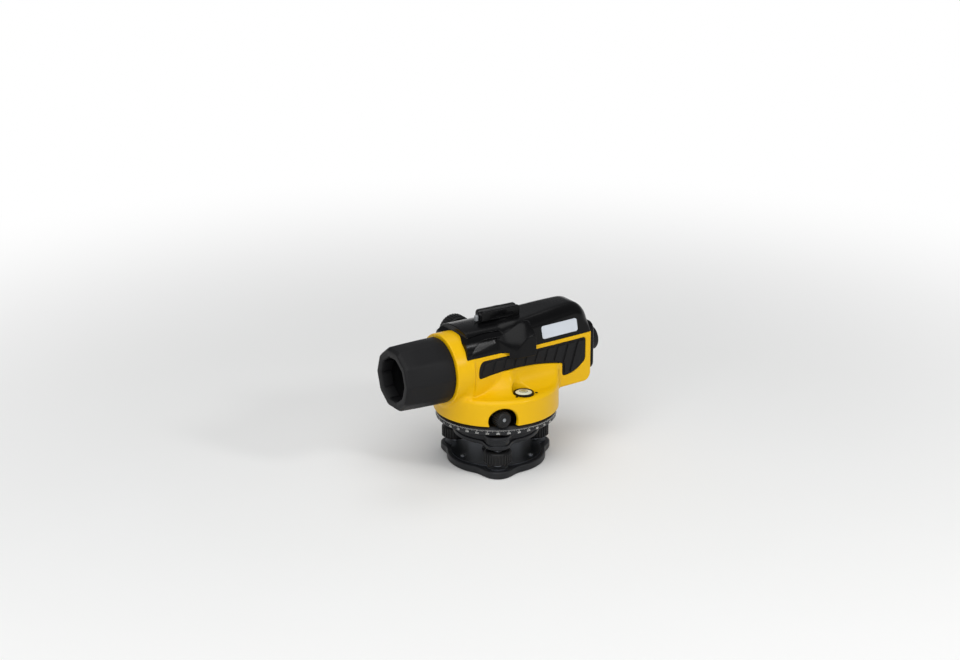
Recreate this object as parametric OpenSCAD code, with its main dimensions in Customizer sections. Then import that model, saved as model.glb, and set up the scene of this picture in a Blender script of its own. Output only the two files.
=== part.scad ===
// Automatic level: a self-levelling surveying telescope on a levelling base.
// Millimetres. The origin is the centre of the tripod seat, +Z is up, +X points
// along the line of sight to the objective and +Y is the observer's left.

/* [Base plate] */
// Diameter of the tripod screw thread
tripod_thread_d = 15.875; // [14:0.125:18]
// Thickness of the base plate
base_t = 7; // [6.5:0.5:9]
// Radius of the round middle of the base plate
base_disc_r = 46; // [40:0.5:50]
// Radius of each lobe of the base plate
base_lobe_r = 14; // [11:0.5:16]
// Height of the threaded boss above the tripod seat
base_boss_h = 10; // [9:0.5:14]
// Radius of the threaded boss
base_boss_r = 13; // [11:0.5:16]
// Thickness of the spring plate that holds the foot pads
spring_plate_t = 1; // [0.6:0.1:1.6]

/* [Foot screws] */
// Radius of the circle through the three foot screws
foot_circle_r = 43; // [41:0.5:45]
// Radius of the ball under each foot screw
foot_ball_r = 3.5; // [3.2:0.1:4]
// Radius of the neck above the ball
foot_neck_r = 2; // [1.8:0.1:2.4]
// Radius of the pivot pin inside the foot pad
foot_pin_r = 1.2; // [1:0.1:1.4]
// Radius of the threaded rod
foot_rod_r = 4; // [3:0.1:5]
// Radius of the knob on the rod
foot_knob_r = 13; // [11:0.5:14]
// Height of the knob
foot_knob_h = 12; // [8:0.5:16]
// Number of finger flutes round the knob
foot_knob_flutes = 14; // [8:1:18]
// Travel of each foot screw up and down from the middle
foot_travel = 2; // [1.5:0.1:3]

/* [Tribrach] */
// Thickness of the tribrach
tribrach_t = 13; // [11:0.5:18]
// Radius of the round middle of the tribrach
tribrach_disc_r = 40; // [34:0.5:44]
// Radius of each arm's end
tribrach_lobe_r = 12; // [9:0.5:13.5]
// Bore radius of the vertical axle sleeve
axle_r = 8; // [7:0.1:9]
// Wall of the axle sleeve
sleeve_wall = 5; // [4:0.25:6]

/* [Horizontal circle] */
// Outside radius of the graduated circle
circle_r = 56; // [52:0.5:57]
// Height of the graduated rim
circle_rim_h = 8.5; // [6:0.5:12]
// Gap between the rim and the housing skirt
circle_gap = 1; // [0.7:0.1:2]

/* [Slow motion drive] */
// Radius of the worm wheel
wheel_r = 20; // [19:0.25:21]
// Number of teeth on the worm wheel
wheel_teeth = 48; // [36:1:60]
// Distance from the vertical axis to the worm
worm_x = 25; // [24.5:0.25:26]
// Height of the worm above the skirt's lower edge
worm_up = 7.5; // [7.3:0.1:8]
// Radius of the worm shaft
worm_shaft_r = 2; // [1.6:0.1:2.2]
// Radius of each slow motion knob
drive_knob_r = 7.8; // [6:0.1:8.1]
// Radius of the arch in the skirt round each knob
arch_r = 13; // [11.2:0.1:13.5]
// Reach of each knob's outer face from the middle
drive_knob_reach = 55; // [53:0.5:60]

/* [Housing] */
// Height of the line of sight above the skirt's lower edge
axis_up = 46; // [46:0.5:48]
// Radius of the round skirt
skirt_r = 58; // [56.5:0.5:62]
// Wall of the skirt
skirt_wall = 4; // [2.5:0.25:4.5]
// Height of the skirt up to its shoulder
skirt_h = 24.5; // [23:0.25:26]
// Radius of the hollow sweep between the skirt and the body
flare_r = 23; // [21:0.5:25]
// Half width of the body in front of the taper
body_half_w = 31; // [30:0.25:33]
// Half width of the body at its rear end
body_rear_half_w = 23; // [21:0.25:26]
// Distance from the vertical axis to where the taper starts
taper_x = 5; // [0:0.5:10]
// Distance from the vertical axis to the body's rear end
body_rear = 90; // [88:0.5:95]
// Distance from the vertical axis to the body's front shoulder
body_front = 46; // [45:0.5:48]
// Depth of the body below the line of sight
body_below = 32.5; // [31:0.25:34]
// Height of the joint line above the line of sight
seam_up = 15.5; // [14.5:0.25:17]
// Wall of the housing and the cover
wall = 3; // [2.5:0.1:3.5]
// Radius of the round collar behind the hood
collar_r = 33.5; // [32:0.25:35]
// Distance from the vertical axis to the collar's front face
collar_front = 60; // [58:0.5:62]

/* [Top cover] */
// Height of the cover's top above the line of sight
cover_up = 39.5; // [38:0.25:42]
// Lean of the cover's sides
cover_lean = 12; // [8:0.5:15]
// Radius of the cover's shoulders
shoulder_r = 10; // [7:0.25:12]
// Length of the side lug's outer face
lug_len = 20; // [18:0.5:22]
// How far the lug reaches below the joint line
lug_drop = 5.75; // [5:0.25:7]
// How far the lug stands out from the body
lug_out = 6; // [4:0.1:6.5]
// Length of the sight on top
sight_len = 41; // [30:0.5:46]
// Width of the sight
sight_w = 12; // [8:0.5:16]
// Height of the sight above the cover
sight_h = 9; // [6:0.25:10]

/* [Grips and plate] */
// Thickness of the rubber pads
pad_t = 2; // [1.6:0.1:2.2]
// How far the pads stand out of the body
pad_proud = 0.6; // [0.3:0.1:0.8]
// Number of ribs on each pad
pad_ribs = 10; // [6:1:14]
// Length of the bare plate
plate_len = 41; // [30:0.5:44]
// Height of the bare plate
plate_h = 12; // [8:0.5:13]
// Thickness of the bare plate
plate_t = 0.6; // [0.4:0.1:1]

/* [Telescope] */
// Distance from the vertical axis to the hood's front
hood_front = 109.5; // [100:0.5:118]
// Radius of the hood at its front
hood_front_r = 29.5; // [28.5:0.25:30.5]
// Radius of the hood at its rear
hood_rear_r = 31; // [30.5:0.25:32]
// Half width of the hood's mouth across its flats
mouth_r = 20; // [18:0.25:22]
// Depth of the hood's mouth
mouth_deep = 12; // [6:0.5:20]
// Radius of the hood's room behind its mouth
hood_bore_r = 24; // [22.5:0.25:25]
// Number of flats round the hood
hood_flats = 10; // [8:1:12]
// Outside radius of the objective cell
cell_r = 27; // [26.6:0.1:27.4]
// Radius of the objective lens
lens_r = 19.5; // [18:0.25:21]
// Bore radius of the telescope tube
tube_bore_r = 12; // [11.5:0.1:12.4]
// Wall of the telescope tube
tube_wall = 2; // [1.6:0.1:2.2]

/* [Focusing] */
// Pitch radius of the focusing pinion
pinion_r = 3; // [2.6:0.1:3.4]
// Number of teeth on the pinion
pinion_teeth = 10; // [8:1:12]
// Travel of the focusing carriage each way
focus_travel = 10; // [8:0.5:10]
// Radius of the focusing knob
focus_knob_r = 15; // [12:0.5:18]
// Length of the focusing knob
focus_knob_len = 14; // [10:0.5:20]
// Distance from the vertical axis forward to the focusing knob
focus_x = 17; // [14:0.5:18]

/* [Eyepiece] */
// Radius of the eyepiece cell
eye_cell_r = 9; // [8:0.1:9.5]
// Radius of the focusing ring of the eyepiece
eye_ring_r = 13; // [12:0.25:15]
// Length of the focusing ring
eye_ring_len = 5; // [4:0.25:8]
// Length of the eyecup
eyecup_len = 5; // [4.6:0.2:8]
// Thickness of the rear cap
rear_cap_t = 5; // [4:0.25:7]
// Travel of the eyepiece each way
eye_travel = 1.5; // [1:0.1:2]

/* [Compensator] */
// Length of the compensator frame
comp_len = 32; // [30:0.5:36]
// Half width of the compensator frame
comp_half_w = 15; // [14:0.25:16]
// Half width of the pendulum
pendulum_half_w = 9; // [8:0.25:10]
// Length of the pendulum
pendulum_len = 14; // [12:0.5:16]

/* [Clearances] */
// Radial clearance of turning and sliding fits
run_gap = 0.06; // [0.04:0.01:0.1]
// Clearance of pieces that are seated in the same body
seat_gap = 0.05; // [0.02:0.01:0.1]
// Clearance between the ball and its socket
ball_gap = 0.15; // [0.12:0.01:0.2]
// End clearance between pieces that turn on each other
end_gap = 0.3; // [0.2:0.05:0.5]

/* [Hidden] */
$fn = 64;
over = 1;
foot_angles = [180, 60, -60];

// Heights, from the tripod seat up to the line of sight
ball_z = base_t - foot_ball_r + 1;
pad_flange_t = 1.5;
pad_flange_z = base_t + spring_plate_t + 1;
rod_z = pad_flange_z + pad_flange_t + end_gap;
foot_knob_z = rod_z + 1.2;
tribrach_z = foot_knob_z + foot_knob_h + foot_travel + 1;
tribrach_top = tribrach_z + tribrach_t;
sleeve_flange_t = 2;
circle_z = tribrach_top + sleeve_flange_t + end_gap;
circle_plate_t = 3.5;
skirt_z = circle_z + circle_rim_h + circle_gap;
worm_z = skirt_z + worm_up;
wheel_t = 3;
wheel_top = worm_z + wheel_t / 2;
washer_t = 0.8;
ring_t = 1;
sleeve_top = wheel_top + end_gap + washer_t + end_gap + ring_t + end_gap;
spindle_flange_t = 2.5;
spindle_flange_z = sleeve_top + end_gap;
deck_z = spindle_flange_z + spindle_flange_t;
axis_z = skirt_z + axis_up;
seam_z = axis_z + seam_up;
body_z = axis_z - body_below;
cover_z = axis_z + cover_up;
floor_z = deck_z + wall;

// Radii that follow from a fit
thread_r = tripod_thread_d / 2;
foot_neck_hole_r = foot_ball_r - 0.5;
sleeve_r = axle_r + sleeve_wall;
bush_r = foot_rod_r + 2.5;
tube_r = tube_bore_r + tube_wall;
eye_bush_r = eye_cell_r + 3;
shaft_bush_r = worm_shaft_r + 3;

// Plan of the tapered body
taper_run = taper_x + body_rear;
taper_a = atan2(body_half_w - body_rear_half_w, taper_run);

// Length layout of the telescope
cell_rear = body_front - 6;
tube_rear = -30;
focus_z = axis_z + tube_bore_r + 1.5 + pinion_r;
rear_cap_x = -body_rear - rear_cap_t;
eye_ring_x = rear_cap_x - eye_travel - end_gap - eye_ring_len;
eyecup_x = eye_ring_x - eyecup_len;
comp_back = 18;
comp_x = comp_back - body_rear;
pivot_x = comp_x + comp_len / 2;

// Points on an arc about c, from angle a0 to a1 in n steps
function arc(c, r, a0, a1, n = 6) =
    [for (i = [0:n]) let (a = a0 + (a1 - a0) * i / n) c + r * [cos(a), sin(a)]];

// A closed gear outline with straight-sided teeth, one tooth centred on angle 0
function gear_points(r, teeth, high, low, tip, root) = [
    for (i = [0:teeth - 1]) let (a = 360 * i / teeth, step = 360 / teeth)
        for (p = [[-root, r - low], [-tip, r + high], [tip, r + high], [root, r - low]])
            let (b = a + p[0] * step) [p[1] * cos(b), p[1] * sin(b)]
];

// A shape drawn in Y and Z, drawn out along X from x0 to x1
module drawn_x(x0, x1) {
    translate([x0, 0, 0]) rotate([90, 0, 90]) linear_extrude(x1 - x0) children();
}

// A shape drawn in X and Z, drawn out along Y from y0 to y1
module drawn_y(y0, y1) {
    translate([0, y1, 0]) rotate([90, 0, 0]) linear_extrude(y1 - y0) children();
}

// A round bar on the line of sight, from x0 to x1
module bar_x(x0, x1, r) {
    translate([x0, 0, axis_z]) rotate([0, 90, 0]) cylinder(r = r, h = x1 - x0);
}

// A tube on the line of sight
module tube_x(x0, x1, outer, inner) {
    difference() {
        bar_x(x0, x1, outer);
        bar_x(x0 - over, x1 + over, inner);
    }
}

// A round bar along Y through the point x, z
module bar_y(x, z, y0, y1, r) {
    translate([x, y1, z]) rotate([90, 0, 0]) cylinder(r = r, h = y1 - y0);
}

// An upright ring
module ring_z(z, h, outer, inner) {
    translate([0, 0, z]) difference() {
        cylinder(r = outer, h = h);
        translate([0, 0, -over]) cylinder(r = inner, h = h + 2 * over);
    }
}

// Children at each foot screw
module at_feet() {
    for (a = foot_angles) rotate([0, 0, a]) translate([foot_circle_r, 0, 0]) children();
}

// Children at foot screw i, counted from 1
module at_foot(i) {
    rotate([0, 0, foot_angles[i - 1]]) translate([foot_circle_r, 0, 0]) children();
}

// Outline of a round plate with a lobe at each foot screw
function lobed_points(disc, lobe) =
    let (reach = foot_circle_r)
    let (join_a = acos((disc * disc + reach * reach - lobe * lobe) / (2 * disc * reach)))
    let (lobe_a = atan2(disc * sin(join_a), disc * cos(join_a) - reach))
    [for (a = [-60, 60, 180]) each concat(
        arc(reach * [cos(a), sin(a)], lobe, a - lobe_a, a + lobe_a, 12),
        [for (i = [1:9]) let (b = a + join_a + (120 - 2 * join_a) * i / 10) disc * [cos(b), sin(b)]])];

// A round plate with a lobe at each foot screw
module lobed_plate(z, h, disc, lobe) {
    translate([0, 0, z]) linear_extrude(h) polygon(lobed_points(disc, lobe));
}

// A body whose half section is a list of [inset from the side, height], bottom
// first, straight in front of taper_x and tapered behind it on both sides
module tapered_form(half, x0, x1) {
    far = 3 * body_half_w;
    long = x1 - x0 + far;
    both = concat([for (p = half) [body_half_w - p[0], p[1]]],
                  [for (i = [len(half) - 1:-1:0]) [half[i][0] - body_half_w, half[i][1]]]);
    side = concat([for (p = half) [-p[0], p[1]]],
                  [[-far, half[len(half) - 1][1]], [-far, half[0][1]]]);
    intersection() {
        drawn_x(x0, x1) polygon(both);
        turned_side(long) polygon(side);
        mirror([0, 1, 0]) turned_side(long) polygon(side);
    }
}

// One tapered side, turned about the upright line where the taper starts
module turned_side(long) {
    translate([taper_x, body_half_w, 0]) rotate([0, 0, taper_a]) drawn_x(-long, long) children();
}

// Half section of the housing with rounded lower edges
function housing_half(inset, z0, z1, r) =
    concat(arc([inset + r, z0 + r], r, 270, 180, 4), [[inset, z1]]);

// Half section of the cover: leaning side, round shoulder, flat top
function cover_half(inset, z0, top) =
    let (r = shoulder_r - inset / 2, join_z = top - r + r * sin(cover_lean))
    let (lean_in = inset + (join_z - seam_z) * tan(cover_lean))
    let (c = [lean_in + r * cos(cover_lean), top - r])
    concat([[inset - (seam_z - z0) * tan(cover_lean), z0]], arc(c, r, 180 - cover_lean, 90));

// A layer that follows the body's tapered sides, between two depths
module side_layer(outer, inner) {
    difference() {
        tapered_form([[outer, body_z - over], [outer, seam_z + over]], -body_rear - over, body_front + over);
        tapered_form([[inner, body_z - 2 * over], [inner, seam_z + 2 * over]],
                     -body_rear - 2 * over, body_front + 2 * over);
    }
}

module base_plate() {
    screw_hole_r = plate_screw_r + seat_gap;
    color("#2a2b2d") difference() {
        union() {
            lobed_plate(0, base_t, base_disc_r, base_lobe_r);
            cylinder(r = base_boss_r, h = base_boss_h);
        }
        translate([0, 0, -over]) cylinder(r = thread_r, h = base_boss_h + 2 * over);
        at_feet() translate([0, 0, ball_z - foot_ball_r - ball_gap])
            cylinder(r = foot_ball_r + ball_gap, h = base_t);
        at_plate_screws() translate([0, 0, base_t - plate_screw_deep - seat_gap])
            cylinder(r = screw_hole_r, h = base_t);
    }
}

plate_screw_r = 1.2;
plate_screw_deep = 4;

// Children at the three spring plate screws, between the foot screws
module at_plate_screws() {
    for (a = foot_angles) rotate([0, 0, a + 60]) translate([base_disc_r - 10, 0, 0]) children();
}

module spring_plate() {
    color("#b9bcc0") difference() {
        lobed_plate(base_t, spring_plate_t, base_disc_r - 4, base_lobe_r - 4);
        translate([0, 0, base_t - over]) {
            cylinder(r = base_boss_r + end_gap, h = spring_plate_t + 2 * over);
            at_feet() cylinder(r = foot_neck_hole_r, h = spring_plate_t + 2 * over);
            at_plate_screws() cylinder(r = plate_screw_r + seat_gap, h = spring_plate_t + 2 * over);
        }
    }
}

module spring_plate_screws() {
    color("#8e9196") at_plate_screws() {
        translate([0, 0, base_t - plate_screw_deep])
            cylinder(r = plate_screw_r, h = plate_screw_deep + spring_plate_t + 0.5);
        translate([0, 0, base_t + spring_plate_t]) cylinder(r = 2.4, h = 1);
    }
}

module foot_pad(i) {
    color("#9b9ea3") at_foot(i) difference() {
        union() {
            translate([0, 0, ball_z]) sphere(r = foot_ball_r);
            translate([0, 0, ball_z]) cylinder(r = foot_neck_r, h = pad_flange_z - ball_z + 0.5);
            translate([0, 0, pad_flange_z]) cylinder(r = foot_rod_r + 1, h = pad_flange_t);
        }
        translate([0, 0, ball_z]) cylinder(r = foot_pin_r + run_gap, h = rod_z);
    }
}

module foot_screw(i) {
    pin_z = ball_z + end_gap;
    color("#a7aaae") at_foot(i) {
        translate([0, 0, pin_z]) cylinder(r = foot_pin_r, h = rod_z - pin_z + 0.5);
        translate([0, 0, rod_z]) cylinder(r = foot_rod_r, h = tribrach_top - 0.5 - rod_z);
    }
}

module foot_knob(i) {
    edge = 1.2;
    flute_r = 1.7;
    color("#1f2022") at_foot(i) translate([0, 0, foot_knob_z]) difference() {
        rotate_extrude() polygon([
            [foot_rod_r + seat_gap, 0], [foot_knob_r - edge, 0], [foot_knob_r, edge],
            [foot_knob_r, foot_knob_h - edge], [foot_knob_r - edge, foot_knob_h],
            [foot_rod_r + seat_gap, foot_knob_h]
        ]);
        for (k = [0:foot_knob_flutes - 1]) rotate([0, 0, 360 * k / foot_knob_flutes])
            translate([foot_knob_r + flute_r * 0.4, 0, -over]) cylinder(r = flute_r, h = foot_knob_h + 2 * over);
    }
}

module tribrach() {
    color("#232426") difference() {
        lobed_plate(tribrach_z, tribrach_t, tribrach_disc_r, tribrach_lobe_r);
        translate([0, 0, tribrach_z - over]) {
            cylinder(r = sleeve_r + seat_gap, h = tribrach_t + 2 * over);
            at_feet() cylinder(r = bush_r + seat_gap, h = tribrach_t + 2 * over);
        }
    }
}

module foot_screw_bushes() {
    color("#b08d45") at_feet() ring_z(tribrach_z, tribrach_t, bush_r, foot_rod_r + run_gap);
}

module axle_sleeve() {
    color("#b5964f") {
        ring_z(tribrach_z + over, sleeve_top - tribrach_z - over, sleeve_r, axle_r);
        ring_z(tribrach_top, sleeve_flange_t, sleeve_r + 4, axle_r);
    }
}

module retaining_ring() {
    color("#8e9196") ring_z(sleeve_top - end_gap - ring_t, ring_t, sleeve_r + 2.5, sleeve_r + seat_gap);
}

module horizontal_circle() {
    bevel = 2.5;
    rim_t = 4;
    hub = sleeve_r + run_gap;
    color("#1c1d1f") translate([0, 0, circle_z]) rotate_extrude($fn = 96) polygon([
        [hub, 0], [circle_r - 1.5, 0], [circle_r, 1.5], [circle_r, circle_rim_h - bevel],
        [circle_r - bevel, circle_rim_h], [circle_r - rim_t, circle_rim_h],
        [circle_r - rim_t, circle_plate_t], [hub, circle_plate_t]
    ]);
}

module worm_wheel() {
    hub_z = circle_z + circle_plate_t + end_gap;
    color("#b08d45") difference() {
        union() {
            translate([0, 0, wheel_top - wheel_t]) linear_extrude(wheel_t)
                polygon(gear_points(wheel_r, wheel_teeth, 0.5, 0.7, 0.12, 0.26));
            translate([0, 0, hub_z]) cylinder(r = sleeve_r + 3, h = wheel_top - hub_z);
        }
        translate([0, 0, hub_z - over]) cylinder(r = sleeve_r + run_gap, h = wheel_top);
    }
}

module clutch_washer() {
    color("#a7aaae") ring_z(wheel_top + end_gap, washer_t, sleeve_r + 2.8, sleeve_r + run_gap);
}

module worm_shaft() {
    core_r = worm_x - wheel_r - 0.5 - 0.4;
    color("#9b9ea3") {
        bar_y(worm_x, worm_z, 2 - drive_knob_reach, drive_knob_reach - 2, worm_shaft_r);
        bar_y(worm_x, worm_z, -worm_half, worm_half, core_r);
    }
}

worm_half = 10;
bracket_y = worm_half + end_gap;
drive_knob_len = 11;

// A slow motion knob on the +Y end of the worm shaft
module drive_knob() {
    y0 = drive_knob_reach - drive_knob_len;
    flutes = 16;
    difference() {
        union() {
            bar_y(worm_x, worm_z, y0, drive_knob_reach - 1, drive_knob_r);
            bar_y(worm_x, worm_z, y0, drive_knob_reach, drive_knob_r - 1.2);
        }
        bar_y(worm_x, worm_z, y0 - over, drive_knob_reach - 2 + seat_gap, worm_shaft_r + seat_gap);
        for (k = [0:flutes - 1]) let (a = 360 * k / flutes)
            bar_y(worm_x + (drive_knob_r + 0.3) * cos(a), worm_z + (drive_knob_r + 0.3) * sin(a),
                  y0 + 3, drive_knob_reach + over, 0.9);
    }
}

module drive_knob_left() {
    color("#1f2022") drive_knob();
}

module drive_knob_right() {
    color("#1f2022") mirror([0, 1, 0]) drive_knob();
}

module worm_bracket() {
    half_x = shaft_bush_r;
    thick = 5;
    color("#b5964f") for (s = [0, 1]) mirror([0, s, 0]) difference() {
        translate([worm_x - half_x, bracket_y, worm_z - half_x])
            cube([2 * half_x, thick, deck_z - worm_z + half_x]);
        bar_y(worm_x, worm_z, bracket_y - over, bracket_y + thick + over, worm_shaft_r + run_gap);
    }
}

module spindle() {
    low = tribrach_z + 2;
    color("#b9bcc0") {
        translate([0, 0, low]) cylinder(r = axle_r - run_gap, h = spindle_flange_z - low + 0.5);
        translate([0, 0, spindle_flange_z]) cylinder(r = sleeve_r + 6, h = spindle_flange_t);
    }
}

skirt_round = 4;
bubble_x = -2;
bubble_y = 44;
bubble_r = 9.5;
bubble_deep = 3;
bubble_flat_r = 10.6;
bubble_screw_a = 25;
bubble_seat_z = skirt_z + skirt_h + 0.5;
bubble_screw_r = 1.3;
tail_round = 8;
arch_z = worm_z - 3;
flank_rise = -34;

// Round skirt with a rounded shoulder and a hollow sweep up to the body
module skirt_form() {
    shoulder = [skirt_r - skirt_round, skirt_z + skirt_h - skirt_round];
    sweep = [skirt_r - skirt_round, skirt_z + skirt_h + flare_r];
    rotate_extrude($fn = 96) polygon(concat(
        [[0, skirt_z], [skirt_r, skirt_z]],
        arc(shoulder, skirt_round, 0, 90, 4),
        arc(sweep, flare_r, 265, 180, 7),
        [[0, sweep[1]]]));
    for (s = [0, 1]) mirror([0, s, 0]) rear_flank();
}

// The same hollow behind the vertical axis, along one tapered side and ended by the round skirt
module rear_flank() {
    shelf_z = skirt_z + skirt_h;
    low = shelf_z - skirt_round;
    intersection() {
        turned_side(2 * skirt_r) polygon(concat(
            [[-body_rear_half_w, low], [skirt_r, low], [skirt_r, shelf_z]],
            arc([flare_r, shelf_z + flare_r], flare_r, 270, 180, 9),
            [[-body_rear_half_w, shelf_z + flare_r]]));
        union() {
            flank_end(skirt_r - skirt_round, 0);
            flank_end(skirt_r, flank_rise);
        }
    }
}

// Half of a round bar behind x, as high as the sweep
module flank_end(r, x) {
    low = skirt_z + skirt_h - skirt_round;
    intersection() {
        translate([0, 0, low]) cylinder(r = r, h = flare_r + skirt_round, $fn = 96);
        translate([x - 2 * skirt_r, 0, low]) cube([2 * skirt_r, 2 * skirt_r, 2 * flare_r]);
    }
}

// Outline of the body seen from the side, with a rounded lower rear corner
module body_side() {
    drawn_y(-2 * body_half_w, 2 * body_half_w) polygon(concat(
        arc([tail_round - body_rear, body_z + tail_round], tail_round, 180, 270),
        [[body_front, body_z], [body_front, seam_z], [-body_rear, seam_z]]));
}

// Outline of a grip pad in X and height. Its lower edge follows the flank and steps down behind it
pad_front = body_front - 8.5;
pad_rear = body_rear - 6.5;
pad_top = seam_z - 4;
pad_step = skirt_r - 2;
pad_low = axis_z - 21;
pad_arch_r = 227;
pad_arch = [-2, axis_z - 2 - pad_arch_r];
pad_outline = concat(
    [[pad_front - 5.5, pad_top], [pad_front - 3.5, pad_top - 2], [pad_front, axis_z + 2],
     [pad_front - 0.5, axis_z - 3], [pad_front - 2.5, axis_z - 5]],
    [for (x = [pad_front - 6:-10:4 - pad_step]) [x, pad_arch[1] + sqrt(pow(pad_arch_r, 2) - pow(x - pad_arch[0], 2))]],
    [[-pad_step, axis_z - 8.5], [-pad_step - 1, pad_low + 3.5], [-pad_step - 4, pad_low],
     [-pad_rear + 12, pad_low], [-pad_rear + 2, pad_low + 7], [-pad_rear, pad_low + 11],
     [-pad_rear, pad_top - 2], [-pad_rear + 2, pad_top]]);

rib_h = 0.5;

module pad_solid() {
    rib_step = (pad_front + pad_rear) / (pad_ribs + 0.5);
    rib_w = rib_step * 0.7;
    rib_lean = 10.5;
    rib_inset = 2;
    intersection() {
        drawn_y(0, 2 * body_half_w) polygon(pad_outline);
        union() {
            side_layer(-pad_proud, pad_t - pad_proud - seat_gap);
            intersection() {
                side_layer(-pad_proud - rib_h, 0);
                drawn_y(0, 2 * body_half_w) for (i = [1:pad_ribs]) let (x = i * rib_step - pad_rear)
                    polygon([[x, pad_low + rib_inset], [x + rib_w, pad_low + rib_inset],
                             [x + rib_w - rib_lean, pad_top - rib_inset], [x - rib_lean, pad_top - rib_inset]]);
            }
        }
    }
}

// How far out the recess cuts, so that the flank ends in a lip round the pad
pad_lip = 6;

module pad_recess() {
    intersection() {
        drawn_y(0, 2 * body_half_w) polygon(pad_outline);
        side_layer(-pad_lip, pad_t - pad_proud);
    }
}

module main_housing() {
    color("#f2b411") difference() {
        union() {
            skirt_form();
            intersection() {
                tapered_form(housing_half(0, body_z, seam_z, 6), -body_rear, body_front);
                body_side();
            }
            bar_x(cell_rear, collar_front - 2, collar_r);
            bar_x(cell_rear, collar_front, collar_r - 1.2);
        }
        tapered_form(housing_half(wall, floor_z, seam_z + over, 3), wall - body_rear, cell_rear);
        translate([cell_rear - collar_r, -collar_r, seam_z]) cube([collar_r, 2 * collar_r, collar_r]);
        bar_x(cell_rear - over, collar_front + over, cell_r + seat_gap);
        translate([0, 0, skirt_z - over]) cylinder(r = skirt_r - skirt_wall, h = deck_z - skirt_z + over);
        for (s = [0, 1]) mirror([0, s, 0]) {
            bar_y(worm_x, arch_z, drive_knob_reach - drive_knob_len - 4, skirt_r + over, arch_r);
            pad_recess();
        }
        bubble_pocket();
        bar_x(-body_rear - over, wall - body_rear + over, eye_bush_r + seat_gap);
        at_cap_screws() bar_x(-body_rear - over, cap_screw_end, cap_screw_r + seat_gap);
        bar_y(focus_x, focus_z, -2 * body_half_w, wall + 4 - body_half_w, focus_bush_r + seat_gap);
    }
}

// Children at the two bubble screws
module at_bubble_screws() {
    for (a = [bubble_screw_a, 180 - bubble_screw_a]) rotate([0, 0, a])
        translate([bubble_r + 2.2, 0, 0]) rotate([0, 0, -a]) children();
}

// Flat seat for the circular bubble, cut into the sweep
module bubble_pocket() {
    translate([bubble_x, bubble_y, bubble_seat_z]) {
        cylinder(r = bubble_flat_r, h = flare_r);
        translate([0, 0, -bubble_deep]) cylinder(r = bubble_r + seat_gap, h = 2 * bubble_deep);
        at_bubble_screws() translate([0, 0, -bubble_deep])
            cylinder(r = bubble_screw_r + seat_gap, h = 2 * bubble_deep);
    }
}

cover_front = body_front + 3;
cover_nose_r = 6;
cover_tail_r = 18;
focus_bush_r = 4.5;

// Outline of the cover seen from the side, d inside its outer face
module cover_side(d, z0) {
    tail_r = cover_tail_r - d;
    nose_r = cover_nose_r - d / 2;
    top = cover_z - d;
    rear = d - body_rear;
    front = cover_front - d;
    drawn_y(-2 * body_half_w, 2 * body_half_w) polygon(concat(
        [[rear, z0]], arc([rear + tail_r, top - tail_r], tail_r, 180, 90),
        arc([front - nose_r, top - nose_r], nose_r, 90, 0), [[front, z0]]));
}

roof_r = cover_up + 1;
roof_x = 7;
roof_blend = 20;
roof_rise = 7;

// Bound of the roof, d inside its outer face: round over the tube in front and free behind
module cover_roof(d) {
    back = roof_x - roof_blend;
    bar_x(-body_rear - over, back, 2 * cover_up);
    translate([back, 0, axis_z]) rotate([0, 90, 0])
        cylinder(r1 = roof_r + roof_rise - d, r2 = roof_r - d, h = roof_blend);
    bar_x(roof_x, cover_front + over, roof_r - d);
}

// The cover's solid form, d inside its outer face, from height z0 up
module cover_form(d, z0) {
    intersection() {
        tapered_form(cover_half(d, z0, cover_z - d), d - body_rear, cover_front - d);
        cover_side(d, z0);
        cover_roof(d);
    }
}

lug_x = -20.5;
lug_slope = 1.68;
lug_bulge = 1;
focus_boss_r = 7;
dip_y = body_half_w + pad_proud + rib_h + end_gap;
panel_x = 26;
panel_r = 57;
panel_back = 9;
panel_deep = 1.8;

// Side lug that dips over the joint line: a quarter of a cone, cut off behind and below
module cover_lug() {
    low = seam_z - lug_drop;
    deep = lug_out + 2 * wall;
    difference() {
        intersection() {
            translate([lug_x, body_half_w + lug_out, low]) rotate([90, 0, 0])
                cylinder(r1 = lug_len, r2 = lug_len + deep * lug_slope, h = deep);
            translate([lug_x, 0, low]) cube([3 * lug_len, 2 * body_half_w, cover_z - shoulder_r / 2 - low]);
            cover_roof(-lug_bulge);
        }
        translate([lug_x - over, 0, low - over]) cube([3 * lug_len, dip_y, lug_drop + over]);
    }
}

// Boss round the focusing shaft, which dips over the joint line as the lugs do
module focus_boss() {
    difference() {
        bar_y(focus_x, focus_z, -body_half_w - lug_out, wall - body_half_w, focus_boss_r);
        translate([focus_x - 2 * focus_boss_r, -dip_y, seam_z - 2 * focus_boss_r])
            cube([4 * focus_boss_r, dip_y, 2 * focus_boss_r]);
    }
}

// Panel under a flat arc, set back on both sides of the cover's front
module cover_panel() {
    difference() {
        intersection() {
            bar_y(panel_x, seam_z - panel_r + seam_up, -2 * body_half_w, 2 * body_half_w, panel_r);
            translate([panel_back, -2 * body_half_w, seam_z - over])
                cube([cover_front, 4 * body_half_w, cover_up]);
        }
        tapered_form(cover_half(panel_deep, seam_z - 2 * over, cover_z + over), -body_rear, cover_front + 2 * over);
    }
}

module top_cover() {
    color("#141516") difference() {
        union() {
            difference() {
                cover_form(0, seam_z);
                cover_panel();
            }
            for (s = [0, 1]) mirror([0, s, 0]) cover_lug();
            focus_boss();
        }
        cover_form(wall, seam_z - over);
        bar_x(cell_rear - over, cover_front + over, collar_r + seat_gap);
        bar_y(focus_x, focus_z, -2 * body_half_w, wall + 4 - body_half_w, focus_bush_r + seat_gap);
    }
}

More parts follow.
